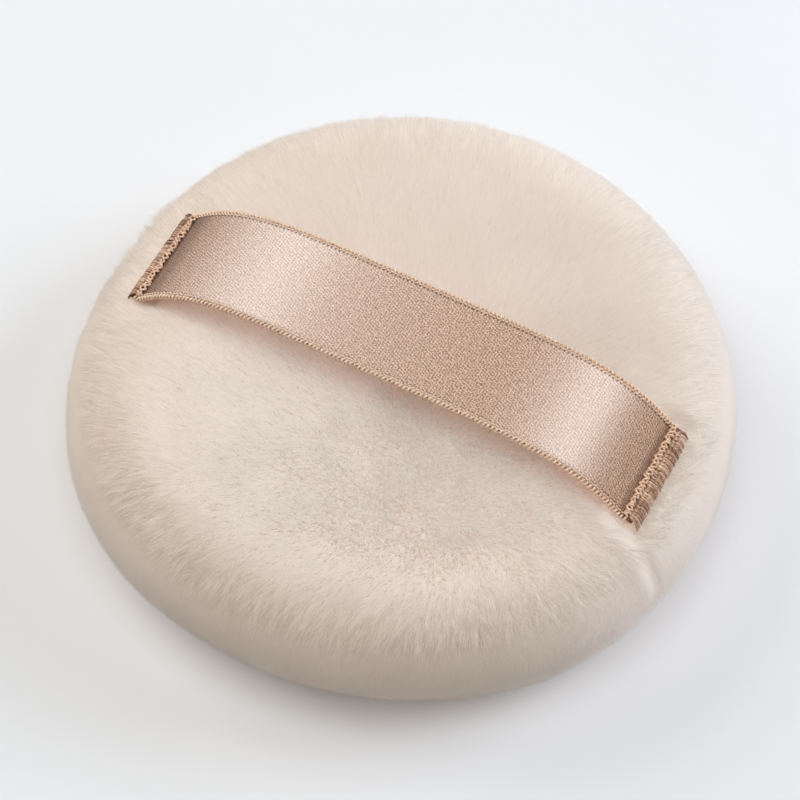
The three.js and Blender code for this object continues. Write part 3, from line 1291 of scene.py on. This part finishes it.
    def tone(
        self,
        root: np.ndarray,
        reach: np.ndarray,
        leader: np.ndarray,
        random: np.random.Generator,
    ) -> np.ndarray:
        """How light each strand is: uneven from strand to strand and from tuft to tuft, with painted
        shade that darkens the back, the rim's roll and the wall.

        Args:
            root: The strands' roots.
            reach: Their distance along the profile.
            leader: The number of the strand that leads its tuft.
            random: Where the unevenness comes from.

        Returns:
            A number from 0 to 1 for each strand.
        """
        uneven = self.uneven_scale * np.abs(random.normal(0.0, 1.0, len(root))) - self.uneven_mean
        # Painted shade: lighter at the front than at the back, and darker over the rim's roll and down the
        # wall.
        extra = self.front_extra * smoothstep(reach, self.front_extra_from, self.front_extra_to)
        front = smoothstep(-root[:, 1], 0.0, self.front_depth + extra)
        light = self.back_shade_tone + front * (self.cut_at(reach, "tone") - self.back_shade_tone)
        contrast = self.back_contrast + (1.0 - self.back_contrast) * front
        contrast *= self.cut_at(reach, "contrast")
        light += contrast * (self.strand_contrast * uneven + self.tuft_contrast * uneven[leader])
        patches = self.patch_contrast * waves(root, self.patch_size, random)
        return np.clip(light + patches, 0.0, 1.0)

    def tuft_leaders(self, root: np.ndarray, random: np.random.Generator) -> np.ndarray:
        """Parts the pile into small tufts.

        Args:
            root: The strands' roots.
            random: Where the choice of tufts comes from.

        Returns:
            For each strand, the number of the one that leads its tuft.
        """
        leaders = random.choice(len(root), len(root) // self.strands_in_tuft, replace=False)
        tree = kdtree.KDTree(len(leaders))
        for number, leader in enumerate(leaders):
            tree.insert(root[leader], number)
        tree.balance()
        return leaders[np.fromiter((tree.find(place)[1] for place in root), int, len(root))]

    def under_ribbon(self, root: np.ndarray, tip: np.ndarray) -> np.ndarray:
        """Shortens strands that would reach through the ribbon or its stitches.

        Args:
            root: The strands' roots.
            tip: The strands' tips.

        Returns:
            The tips of the shortened strands.
        """
        below = np.abs(tip[:, 1]) < self.form.ribbon_width / 2 + self.room_beside
        below &= np.abs(tip[:, 0]) < self.form.tab_end + self.room_beyond
        below &= tip[:, 2] > self.form.rim_height
        room = self.ribbon.lowest(tip[:, 0]) - self.room_below - root[:, 2]
        rise = np.maximum(tip[:, 2] - root[:, 2], self.least_rise)
        share = np.where(below, np.clip(room / rise, self.least_share, 1.0), 1.0)
        return root + share[:, None] * (tip - root)

    def tied(self, name: str, strands: Strands) -> bpy.types.Object:
        """Makes one piece of pile.

        Its fine fibres let light through, so only the backing casts a shadow.

        Args:
            name: The piece's name.
            strands: Its strands.

        Returns:
            The piece.
        """
        count, points = strands.points.shape[:2]
        start = np.arange(count)[:, None] * points
        faces = np.concatenate([start + [0, 1, 3], start + [1, 2, 3], start + [2, 0, 3]])
        piece = mesh_object(name, strands.points.reshape(-1, 3), [faces])
        keep_numbers(piece, "rise", np.tile([0.0, 0.0, 0.0, 1.0], count))
        keep_numbers(piece, "tone", np.repeat(strands.tone, points))
        soft = piece.data.attributes.new("custom_normal", "FLOAT_VECTOR", "POINT")
        soft.data.foreach_set("vector", strands.facing.astype(np.float32).ravel())
        piece.visible_shadow = False
        piece.visible_diffuse = False
        dress(piece, self.pile, Slot.PLUSH)
        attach(piece, Body.PUFF.value)
        return piece


@dataclass
class SpongeFilling:
    """The foam that fills the cover, with a groove for the turned-in edges of the panels.

    The groove deepens between two shares of the pad's radius.
    """

    form: PadForm
    foam: bpy.types.Material
    depth: float = 3.2 * MM
    groove: float = 4.6 * MM
    groove_height: float = 1.0 * MM
    groove_from: float = 0.6
    groove_to: float = 0.8
    unevenness: float = 0.12 * MM
    uneven_size: float = 2.0 * MM

    def build(self) -> bpy.types.Object:
        """Builds the filling.

        Returns:
            The filling.
        """
        random = np.random.default_rng(SEED)
        points, normals, _ = self.form.surface()
        inner = points - self.depth * normals
        reach = np.linalg.norm(inner[..., :2], axis=-1)
        share = np.exp(-(((inner[..., 2] - self.form.rim_height) / self.groove_height) ** 2))
        share *= smoothstep(reach, self.groove_from * self.form.radius, self.groove_to * self.form.radius)
        inner[..., :2] *= (1.0 - self.groove * share / np.maximum(reach, MM))[..., None]
        rough = waves(inner.reshape(-1, 3), self.uneven_size, random).reshape(reach.shape)
        inner += self.unevenness * rough[..., None] * normals
        piece = mesh_object("sponge_filling", *closed_rings(inner[1:-1], inner[0, 0], inner[-1, 0]))
        dress(piece, self.foam, Slot.FOAM)
        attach(piece, Body.PUFF.value)
        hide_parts("foam_core")
        return piece


@dataclass
class Thread:
    """Round thread, with its tone from 0 for the darkest to 1 for the lightest."""

    radius: float
    tone: float
    sides: int = 6
    end_share: float = 0.35

    def along(self, line: np.ndarray) -> Laid:
        """Lays one length of thread, rounded off at both ends.

        Args:
            line: The thread's middle line, one row for each point.

        Returns:
            The vertices, the faces, and each vertex's place along and round the thread and its tone.
        """
        ahead = unit(np.gradient(line, axis=0))
        # No stitch runs this way, so it gives every point of a thread a side.
        slant = np.array([0.3, 0.2, 0.93])
        side = unit(np.cross(slant, ahead))
        up = np.cross(ahead, side)
        share = np.arange(self.sides) / self.sides
        turn = TURN * share
        ring = np.cos(turn)[:, None] * side[:, None] + np.sin(turn)[:, None] * up[:, None]
        reach = np.full(len(line), self.radius)
        reach[[0, -1]] *= self.end_share
        points = (line[:, None] + reach[:, None, None] * ring).reshape(-1, 3)
        along = np.repeat(stations(line), self.sides)
        numbers = np.stack([along, np.tile(share, len(line)), np.full_like(along, self.tone)], -1)
        return points, strip_faces(len(line), self.sides, closed=True)[:, ::-1], numbers


def stitched(name: str, laid: Sequence[Laid], material: bpy.types.Material) -> bpy.types.Object:
    """Makes one piece of several lengths of thread.

    Args:
        name: The piece's name.
        laid: The lengths of thread.
        material: Their finish.

    Returns:
        The piece.
    """
    points, faces = joined([(points, faces) for points, faces, _ in laid])
    made = mesh_object(name, points, [faces])
    numbers = np.concatenate([numbers for _, _, numbers in laid])
    for column, kept in enumerate(("along", "around", "tone")):
        keep_numbers(made, kept, numbers[:, column])
    return dress(made, material, Slot.EDGE_THREAD)


@dataclass
class FingerRibbon:
    """The satin ribbon with its two overlocked edges.

    The coil is the thread wound round an edge, and the needle's stitches lie on the satin beside it.
    """

    line: RibbonLine
    width: float
    thread: bpy.types.Material
    thickness: float = 0.35 * MM
    band_inset: float = 0.4 * MM
    end_inset: float = 1.0 * MM
    coil_pitch: float = 0.55 * MM
    coil_reach: float = 0.22 * MM
    coil_rise: float = 0.21 * MM
    coil_thread: float = 0.135 * MM
    coil_tone: float = 0.95
    coil_flatness: float = 0.7
    coil_looseness: float = 0.07
    coil_past_arch: float = 0.9 * MM
    coil_steps: int = 14
    needle_inset: float = 0.80 * MM
    needle_length: float = 0.26 * MM
    needle_rise: float = 0.09 * MM
    needle_thread: float = 0.10 * MM
    needle_tone: float = 0.9
    needle_bury: float = 3.0
    needle_steps: int = 7
    hole_inset: float = 0.98 * MM
    steps_along: int = 420
    steps_across: int = 40
    length_steps: int = 400
    row_steps: int = 2000

    def build(self) -> Iterator[bpy.types.Object]:
        """Builds the band and its edges.

        Yields:
            Each piece.
        """
        band = self.band()
        edges = [self.edge(edge) for edge in Edge]
        for piece in (band, *edges):
            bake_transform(piece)
        length = self.line.points(self.line.tab_end - self.end_inset, self.length_steps)[2]
        self.width - 2.0 * self.band_inset
        float(length[-1] - length[0])
        yield band
        yield from edges

    def band(self) -> bpy.types.Object:
        """Builds the satin band as a thin closed solid.

        Returns:
            The band.
        """
        line, normals, along = self.line.points(self.line.tab_end - self.end_inset, self.steps_along)
        half = self.width / 2 - self.band_inset
        across = np.linspace(-half, half, self.steps_across)
        across = np.concatenate([across, across[::-1]])
        lift = np.repeat([0.5 * self.thickness, -0.5 * self.thickness], self.steps_across)
        points = line[:, None] + lift[:, None] * normals[:, None]
        points[..., 1] += across
        columns = 2 * self.steps_across
        ends = np.arange(self.steps_across - 1)
        cap = np.stack([ends, ends + 1, columns - 2 - ends, columns - 1 - ends], -1)
        last = (self.steps_along - 1) * columns
        faces = [strip_faces(self.steps_along, columns, True)[:, ::-1], cap, cap[:, ::-1] + last]
        piece = mesh_object("ribbon_satin", points.reshape(-1, 3), faces)
        keep_numbers(piece, "along", np.repeat(along, columns))
        keep_numbers(piece, "across", np.tile(across, self.steps_along))
        arch = self.line.points(self.line.half_span, self.length_steps)[2]
        finish = SatinFinish(self.width / 2 - self.hole_inset, self.coil_pitch, float(arch[-1]))
        dress(piece, finish.make(), Slot.SATIN)
        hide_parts("ribbon_band")
        return piece

    def edge(self, edge: Edge) -> bpy.types.Object:
        """Builds one overlocked edge: thread wound round the ribbon's edge.

        Args:
            edge: Which edge.

        Returns:
            The edge.
        """
        random = np.random.default_rng([SEED, EDGE_STREAM + edge.value])
        end = self.line.half_span + self.coil_past_arch
        length = self.line.points(end, self.length_steps)[2]
        turns = int((length[-1] - length[0]) / self.coil_pitch)
        line, normals, along = self.line.points(end, turns * self.coil_steps + 1)
        turn = TURN * along / self.coil_pitch
        number = np.arange(len(line)) // self.coil_steps
        loose = 1.0 + self.coil_looseness * random.normal(size=turns + 1)[number]
        side = np.array([0.0, float(edge.value), 0.0])
        out = np.sign(np.cos(turn)) * np.abs(np.cos(turn)) ** self.coil_flatness
        up = np.sign(np.sin(turn)) * np.abs(np.sin(turn)) ** self.coil_flatness
        middle = line + (self.width / 2 - self.coil_reach - self.coil_thread) * side
        coil = middle + (self.coil_reach * loose * out)[:, None] * side
        coil += (self.coil_rise * up)[:, None] * normals
        needle = Thread(self.needle_thread, self.needle_tone)
        laid = [Thread(self.coil_thread, self.coil_tone).along(coil)]
        laid += [needle.along(stitch) for stitch in self.needle_row(edge, end)]
        piece = stitched(f"ribbon_overlock_{edge.name.lower()}", laid, self.thread)
        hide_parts(f"ribbon_edge_{edge.name.lower()}")
        return piece

    def needle_row(self, edge: Edge, end: float) -> Iterator[np.ndarray]:
        """Short stitches on the satin, along the inner side of an overlocked edge.

        Args:
            edge: Which edge.
            end: How far from the middle of the ribbon the row goes.

        Yields:
            The middle line of each stitch.
        """
        line, normals, along = self.line.points(end, self.row_steps)
        pitch = self.coil_pitch
        share = np.linspace(-1.0, 1.0, self.needle_steps)
        lift = 0.5 * self.thickness + self.needle_rise * (1.0 - self.needle_bury * share**4)
        for middle in np.arange(along[0] + pitch, along[-1] - pitch, pitch):
            place = middle + 0.5 * self.needle_length * share
            stitch = looked_up(place, along, line)
            stitch += lift[:, None] * looked_up(place, along, normals)
            stitch[:, 1] = edge.value * (self.width / 2 - self.needle_inset)
            yield stitch


# How far the satin stitches go past the end of the ribbon.
OVERHANGS = {End.LEFT: -0.45 * MM, End.RIGHT: 0.0}


@dataclass
class SewnEnd:
    """The stitches that hold one end of the ribbon.

    A raised row of crosses lies over a core of cord, and satin stitches run from it into the pile. Near
    the ends of their row they fan out. The cord is painted darkest, as shade in the gaps between the
    crosses.
    """

    end: End
    line: RibbonLine
    width: float
    thread: bpy.types.Material
    short_of_edge: float = 0.7 * MM
    ridge_inset: float = 0.55 * MM
    core_thread: float = 0.2 * MM
    core_rise: float = 0.06 * MM
    # Painted shade: the cord is darkest, so the gaps between the crosses look shaded.
    core_shade_tone: float = 0.0
    core_steps: int = 40
    cross_pitch: float = 0.60 * MM
    cross_reach: float = 0.45 * MM
    cross_rise: float = 0.56 * MM
    cross_drop: float = 0.45 * MM
    cross_thread: float = 0.14 * MM
    cross_tone: float = 0.9
    cross_over: float = 0.09 * MM
    cross_point: float = 0.98
    cross_steps: int = 16
    uneven_size: float = 1.1 * MM
    uneven_reach: float = 0.25
    uneven_across: float = 0.12 * MM
    stitch_pitch: float = 0.17 * MM
    stitch_thread: float = 0.105 * MM
    stitch_tone: float = 0.5
    stitch_rise: float = 0.36 * MM
    stitch_fall: float = 0.8
    stitch_start: float = 0.38 * MM
    stitch_steps: int = 9
    bury: float = 0.9 * MM
    fan: float = 0.5
    fan_width: float = 1.3 * MM
    shortest: float = 0.95
    longest: float = 1.04
    tone_spread: float = 0.2
    fan_spread: float = 0.16
    side_spread: float = 0.02 * MM
    lift_spread: float = 0.03 * MM

    def build(self) -> bpy.types.Object:
        """Builds the stitches of this end.

        Returns:
            The stitches.
        """
        random = np.random.default_rng([SEED, END_STREAM + self.end.value])
        cross = Thread(self.cross_thread, self.cross_tone)
        laid = [Thread(self.core_thread, self.core_shade_tone).along(self.core())]
        laid += [cross.along(line) for line in self.crosses(random)]
        for line in self.satin_stitches(random):
            tone = self.stitch_tone + random.normal(0.0, self.tone_spread)
            laid.append(Thread(self.stitch_thread, tone).along(line))
        piece = stitched(f"sewn_end_{self.end.name.lower()}", laid, self.thread)
        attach(piece, Body.PUFF.value)
        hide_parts(f"bar_tack_{self.end.name.lower()}")
        return piece

    @property
    def half(self) -> float:
        """Half the length of the stitched row."""
        return self.width / 2 - self.short_of_edge

    def core(self) -> np.ndarray:
        """Lays the cord under the raised row.

        Returns:
            The cord's middle line.
        """
        across = np.linspace(-self.half, self.half, self.core_steps)
        along = np.full_like(across, self.line.half_span + self.ridge_inset)
        return self.placed(along, across, np.full_like(across, self.core_rise))

    def crosses(self, random: np.random.Generator) -> Iterator[np.ndarray]:
        """Threads that cross each other over the cord in a row of small crosses.

        Args:
            random: Where their unevenness comes from.

        Yields:
            The middle line of each thread.
        """
        steps = int(2.0 * self.half / self.cross_pitch) * self.cross_steps
        across = np.linspace(-self.half, self.half, steps)
        level = np.zeros_like(across)
        turn = math.pi * across / self.cross_pitch
        middle = self.line.half_span + self.ridge_inset
        for way in (-1.0, 1.0):
            swing = way * 2.0 / math.pi * np.arcsin(np.sin(turn) * self.cross_point)
            uneven = waves(np.stack([across, level, level], -1), self.uneven_size, random)
            along = middle + self.cross_reach * swing * (1.0 + self.uneven_reach * uneven)
            lift = self.cross_rise - self.cross_drop * swing**2 + self.cross_over * way * np.cos(turn)
            yield self.placed(along, across + self.uneven_across * uneven, lift)

    def satin_stitches(self, random: np.random.Generator) -> Iterator[np.ndarray]:
        """Threads that run side by side from the raised row outwards and down into the pile.

        Args:
            random: Where their unevenness comes from.

        Yields:
            The middle line of each thread.
        """
        half = self.half - self.stitch_thread
        share = np.linspace(0.0, 1.0, self.stitch_steps)
        first = self.line.half_span + self.ridge_inset + self.stitch_start
        run = self.line.tab_end + OVERHANGS[self.end] - first
        for across in np.arange(-half, half, self.stitch_pitch):
            edge_share = max(0.0, abs(across) - half + self.fan_width) / self.fan_width
            turn = math.copysign(self.fan * edge_share, across) + random.normal(0.0, self.fan_spread)
            reach = run * random.uniform(self.shortest, self.longest)
            along = first + reach * share * math.cos(turn)
            beside = across + reach * share * math.sin(turn) + random.normal(0.0, self.side_spread)
            lift = self.stitch_rise * np.sqrt(1.0 - self.stitch_fall * share**3) - self.bury * share**5
            yield self.placed(along, beside, lift + random.normal(0.0, self.lift_spread))

    def placed(self, along: np.ndarray, across: np.ndarray, lift: np.ndarray) -> np.ndarray:
        """Points on this end, from distances along and across the ribbon and heights over its line."""
        return np.stack([self.end.value * along, across, self.line.height(along) + lift], -1)


@dataclass
class HiddenStitches:
    """Stitches inside the cover, which keep their CAD shape."""

    thread: bpy.types.Material
    nodes: tuple[str, ...] = ("rim_seam", "closing_stitch", "bobbin_row_left", "bobbin_row_right")

    def build(self) -> Iterator[bpy.types.Object]:
        """Dresses each of them in turn."""
        for node in self.nodes:
            yield dress(frame["nodes"][node], self.thread, Slot.SEAM_THREAD)


class Lit(Enum):
    """What a lamp lights."""

    ALL = "all pieces"
    RIBBON = "the ribbon and its stitches"
    REST = "all but the ribbon and its stitches"


RIBBON_PIECES = (
    "ribbon_satin",
    "ribbon_overlock_front",
    "ribbon_overlock_back",
    "sewn_end_left",
    "sewn_end_right",
)


@dataclass(frozen=True)
class Lamp:
    """One soft rectangular lamp that faces the puff.

    The ribbon casts a shadow in its light, unless the light goes through the ribbon.
    """

    name: str
    way: tuple[float, float, float]
    wide: float
    tall: float
    power: float
    lit: Lit = Lit.ALL
    colour: Colour = WHITE
    through_ribbon: bool = False
    distance: float = 0.7


@dataclass(frozen=True)
class Strip:
    """A lamp that the satin mirrors to the camera, seen between two angles.

    The angles are in degrees from straight up, towards the right end of the ribbon, and back is the
    share of the lamp's way that points to the back.
    """

    start: float
    end: float
    power_per_metre: float
    back: float = 0.49
    tall: float = 0.30

    def lamp(self) -> Lamp:
        """Works out the lamp, which lights the ribbon and its stitches alone.

        Returns:
            The lamp.
        """
        middle = math.radians((self.start + self.end) / 2)
        half = math.radians((self.end - self.start) / 2)
        outward = math.sqrt(1.0 - self.back**2)
        way = (outward * math.sin(middle), self.back, outward * math.cos(middle))
        wide = 2.0 * Lamp.distance * outward * math.tan(half)
        name = f"ribbon_strip_{self.start:+.0f}"
        return Lamp(name, way, wide, self.tall, self.power_per_metre * wide, Lit.RIBBON)


RIBBON_STRIPS = (
    Strip(-92.0, -76.0, 0.32),
    Strip(-76.0, -60.0, 1.0),
    Strip(-60.0, -48.0, 1.8),
    Strip(-48.0, -36.0, 2.5),
    Strip(-36.0, -23.0, 3.4),
    Strip(-23.0, -20.0, 2.5),
    Strip(-20.0, -18.2, 1.4),
    Strip(-8.0, -3.0, 0.7),
    Strip(-3.0, 3.0, 1.2),
    Strip(3.0, 9.0, 2.0),
    Strip(9.0, 15.0, 2.8),
    Strip(15.0, 33.0, 3.25),
    Strip(33.0, 40.0, 2.3),
    Strip(40.0, 47.0, 1.4),
    Strip(47.0, 55.0, 0.7),
    Strip(55.0, 64.0, 0.3),
)


@dataclass
class Studio:
    """Floor, soft lamps and camera."""

    focal_pixels: float = 2592.0
    azimuth: float = 27.03
    elevation: float = 57.71
    distance: float = 319.0 * MM
    target: tuple[float, float, float] = (0.28 * MM, -0.97 * MM, 10.02 * MM)
    roll: float = 0.93
    ambient: float = 0.17
    backdrop: float = 1.0
    overhead: tuple[float, float, float] = (0.05, -0.20, 0.98)
    daylight: Colour = (0.91, 1.0, 1.16)
    through_satin: Colour = (0.52, 0.26, 0.11)
    floor_half: float = 3.0
    clip_start: float = 0.01
    clip_end: float = 20.0

    def build(self) -> None:
        """Builds all of it."""
        bpy.context.scene.view_settings.view_transform = "Standard"
        self.floor()
        self.world()
        for lamp in (*self.softboxes(), *(strip.lamp() for strip in RIBBON_STRIPS)):
            self.hang(lamp)
        self.camera()

    def softboxes(self) -> Iterator[Lamp]:
        """Lists the lamps that don't light the ribbon alone.

        The overhead light is in two shares: the ribbon holds back the cool one, and the warm one goes
        through it.

        Yields:
            Each lamp.
        """
        red, green, blue = self.through_satin
        yield Lamp(
            "overhead_softbox",
            self.overhead,
            wide=0.60,
            tall=0.60,
            power=2.3,
            colour=(1.0 - red, 1.0 - green, 1.0 - blue),
        )
        yield Lamp(
            "overhead_through_ribbon",
            self.overhead,
            wide=0.60,
            tall=0.60,
            power=2.3,
            colour=self.through_satin,
            through_ribbon=True,
        )
        yield Lamp("left_softbox", (-0.85, 0.10, 0.50), wide=0.50, tall=0.50, power=2.5, lit=Lit.REST)
        yield Lamp(
            "back_right_softbox",
            (0.66, 0.64, 0.35),
            wide=0.50,
            tall=0.40,
            power=3.7,
            lit=Lit.REST,
            colour=self.daylight,
            through_ribbon=True,
        )

    def floor(self) -> None:
        """Lays a plain pale floor."""
        sides = ((-1.0, -1.0), (1.0, -1.0), (1.0, 1.0), (-1.0, 1.0))
        corners = np.array([(self.floor_half * x, self.floor_half * y, 0.0) for x, y in sides])
        piece = mesh_object("floor", corners, [np.array([[0, 1, 2, 3]])])
        piece.data.materials.append(FloorFinish().make())
        piece.visible_glossy = False
        piece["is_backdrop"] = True

    def world(self) -> None:
        """Gives even light from all round, and a white backdrop that the camera alone sees."""
        world = bpy.data.worlds.new("studio")
        world.use_nodes = True
        nodes = Nodes(world.node_tree)
        strength = self.ambient + (self.backdrop - self.ambient) * nodes.seen()
        sky = nodes.node("ShaderNodeBackground", inputs={"Color": (*WHITE, 1.0), "Strength": strength})
        nodes.end("ShaderNodeOutputWorld", sky)
        bpy.context.scene.world = world

    def hang(self, lamp: Lamp) -> None:
        """Hangs one lamp.

        Args:
            lamp: The lamp.
        """
        light = bpy.data.lights.new(lamp.name, "AREA")
        light.shape = "RECTANGLE"
        light.size = lamp.wide
        light.size_y = lamp.tall
        light.energy = lamp.power
        light.color = lamp.colour
        made = bpy.data.objects.new(lamp.name, light)
        back = Vector(lamp.way).normalized()
        right = Vector((0.0, 1.0, 0.0)).cross(back).normalized()
        made.location = lamp.distance * back
        made.rotation_mode = "QUATERNION"
        made.rotation_quaternion = Matrix((right, back.cross(right), back)).transposed().to_quaternion()
        if lamp.lit is not Lit.ALL:
            made.light_linking.receiver_collection = self.ribbon_linked(lamp, lamp.lit is Lit.RIBBON)
        if lamp.through_ribbon:
            made.light_linking.blocker_collection = self.ribbon_linked(lamp, False)
        bpy.context.scene.collection.objects.link(made)

    @staticmethod
    def ribbon_linked(lamp: Lamp, include: bool) -> bpy.types.Collection:
        """Lists the ribbon's pieces for a lamp.

        Args:
            lamp: The lamp.
            include: Whether the list takes them in, or leaves them out of all pieces.

        Returns:
            The list.
        """
        listed = bpy.data.collections.new(f"{lamp.name}_pieces")
        for name in RIBBON_PIECES:
            listed.objects.link(bpy.data.objects[name])
        for entry in listed.collection_objects:
            entry.light_linking.link_state = "INCLUDE" if include else "EXCLUDE"
        return listed

    def camera(self) -> None:
        """Sets the camera at the photograph's place."""
        turn, rise = math.radians(self.azimuth), math.radians(self.elevation)
        level = math.cos(rise)
        back = Vector((math.sin(turn) * level, -math.cos(turn) * level, math.sin(rise)))
        lens = bpy.data.cameras.new("photograph")
        lens.sensor_width = SENSOR_WIDTH
        lens.lens = self.focal_pixels / IMAGE_SIDE * SENSOR_WIDTH
        lens.clip_start = self.clip_start
        lens.clip_end = self.clip_end
        camera = bpy.data.objects.new("photograph", lens)
        camera.location = Vector(self.target) + self.distance * back
        facing = (-back).to_track_quat("-Z", "Y").to_matrix().to_4x4()
        roll = Matrix.Rotation(math.radians(self.roll), 4, "Z")
        camera.rotation_mode = "QUATERNION"
        camera.rotation_quaternion = (facing @ roll).to_quaternion()
        bpy.context.scene.collection.objects.link(camera)
        bpy.context.scene.camera = camera


def write_sizes() -> None:
    """Works out the CAD box and the visual model's box as plain numbers, which are then dropped."""
    boxes = {"cad": CAD_BOX, "visual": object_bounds()}
    {name: [list(corner) for corner in box] for name, box in boxes.items()}


def main() -> None:
    """Builds the puff piece by piece, then the studio."""
    logging.basicConfig(level=logging.INFO, format="%(name)s: %(message)s")
    form = PadForm.from_frame()
    line = RibbonLine.from_frame(form)
    overlock_thread = OVERLOCK_THREAD.make()
    tack_thread = TACK_THREAD.make()
    seam_thread = SEAM_THREAD.make()
    pieces = [
        SpongeFilling(form, FoamFinish().make()).build(),
        *PlushCover(form, line, BackingFinish().make(), PileFinish().make()).build(),
        *FingerRibbon(line, form.ribbon_width, overlock_thread).build(),
        *(SewnEnd(end, line, form.ribbon_width, tack_thread).build() for end in End),
        *HiddenStitches(seam_thread).build(),
    ]
    for piece in pieces:
        LOG.info("%s: %d faces", piece.name, len(piece.data.polygons))
    Studio().build()
    write_sizes()


if __name__ == "__main__":
    main()
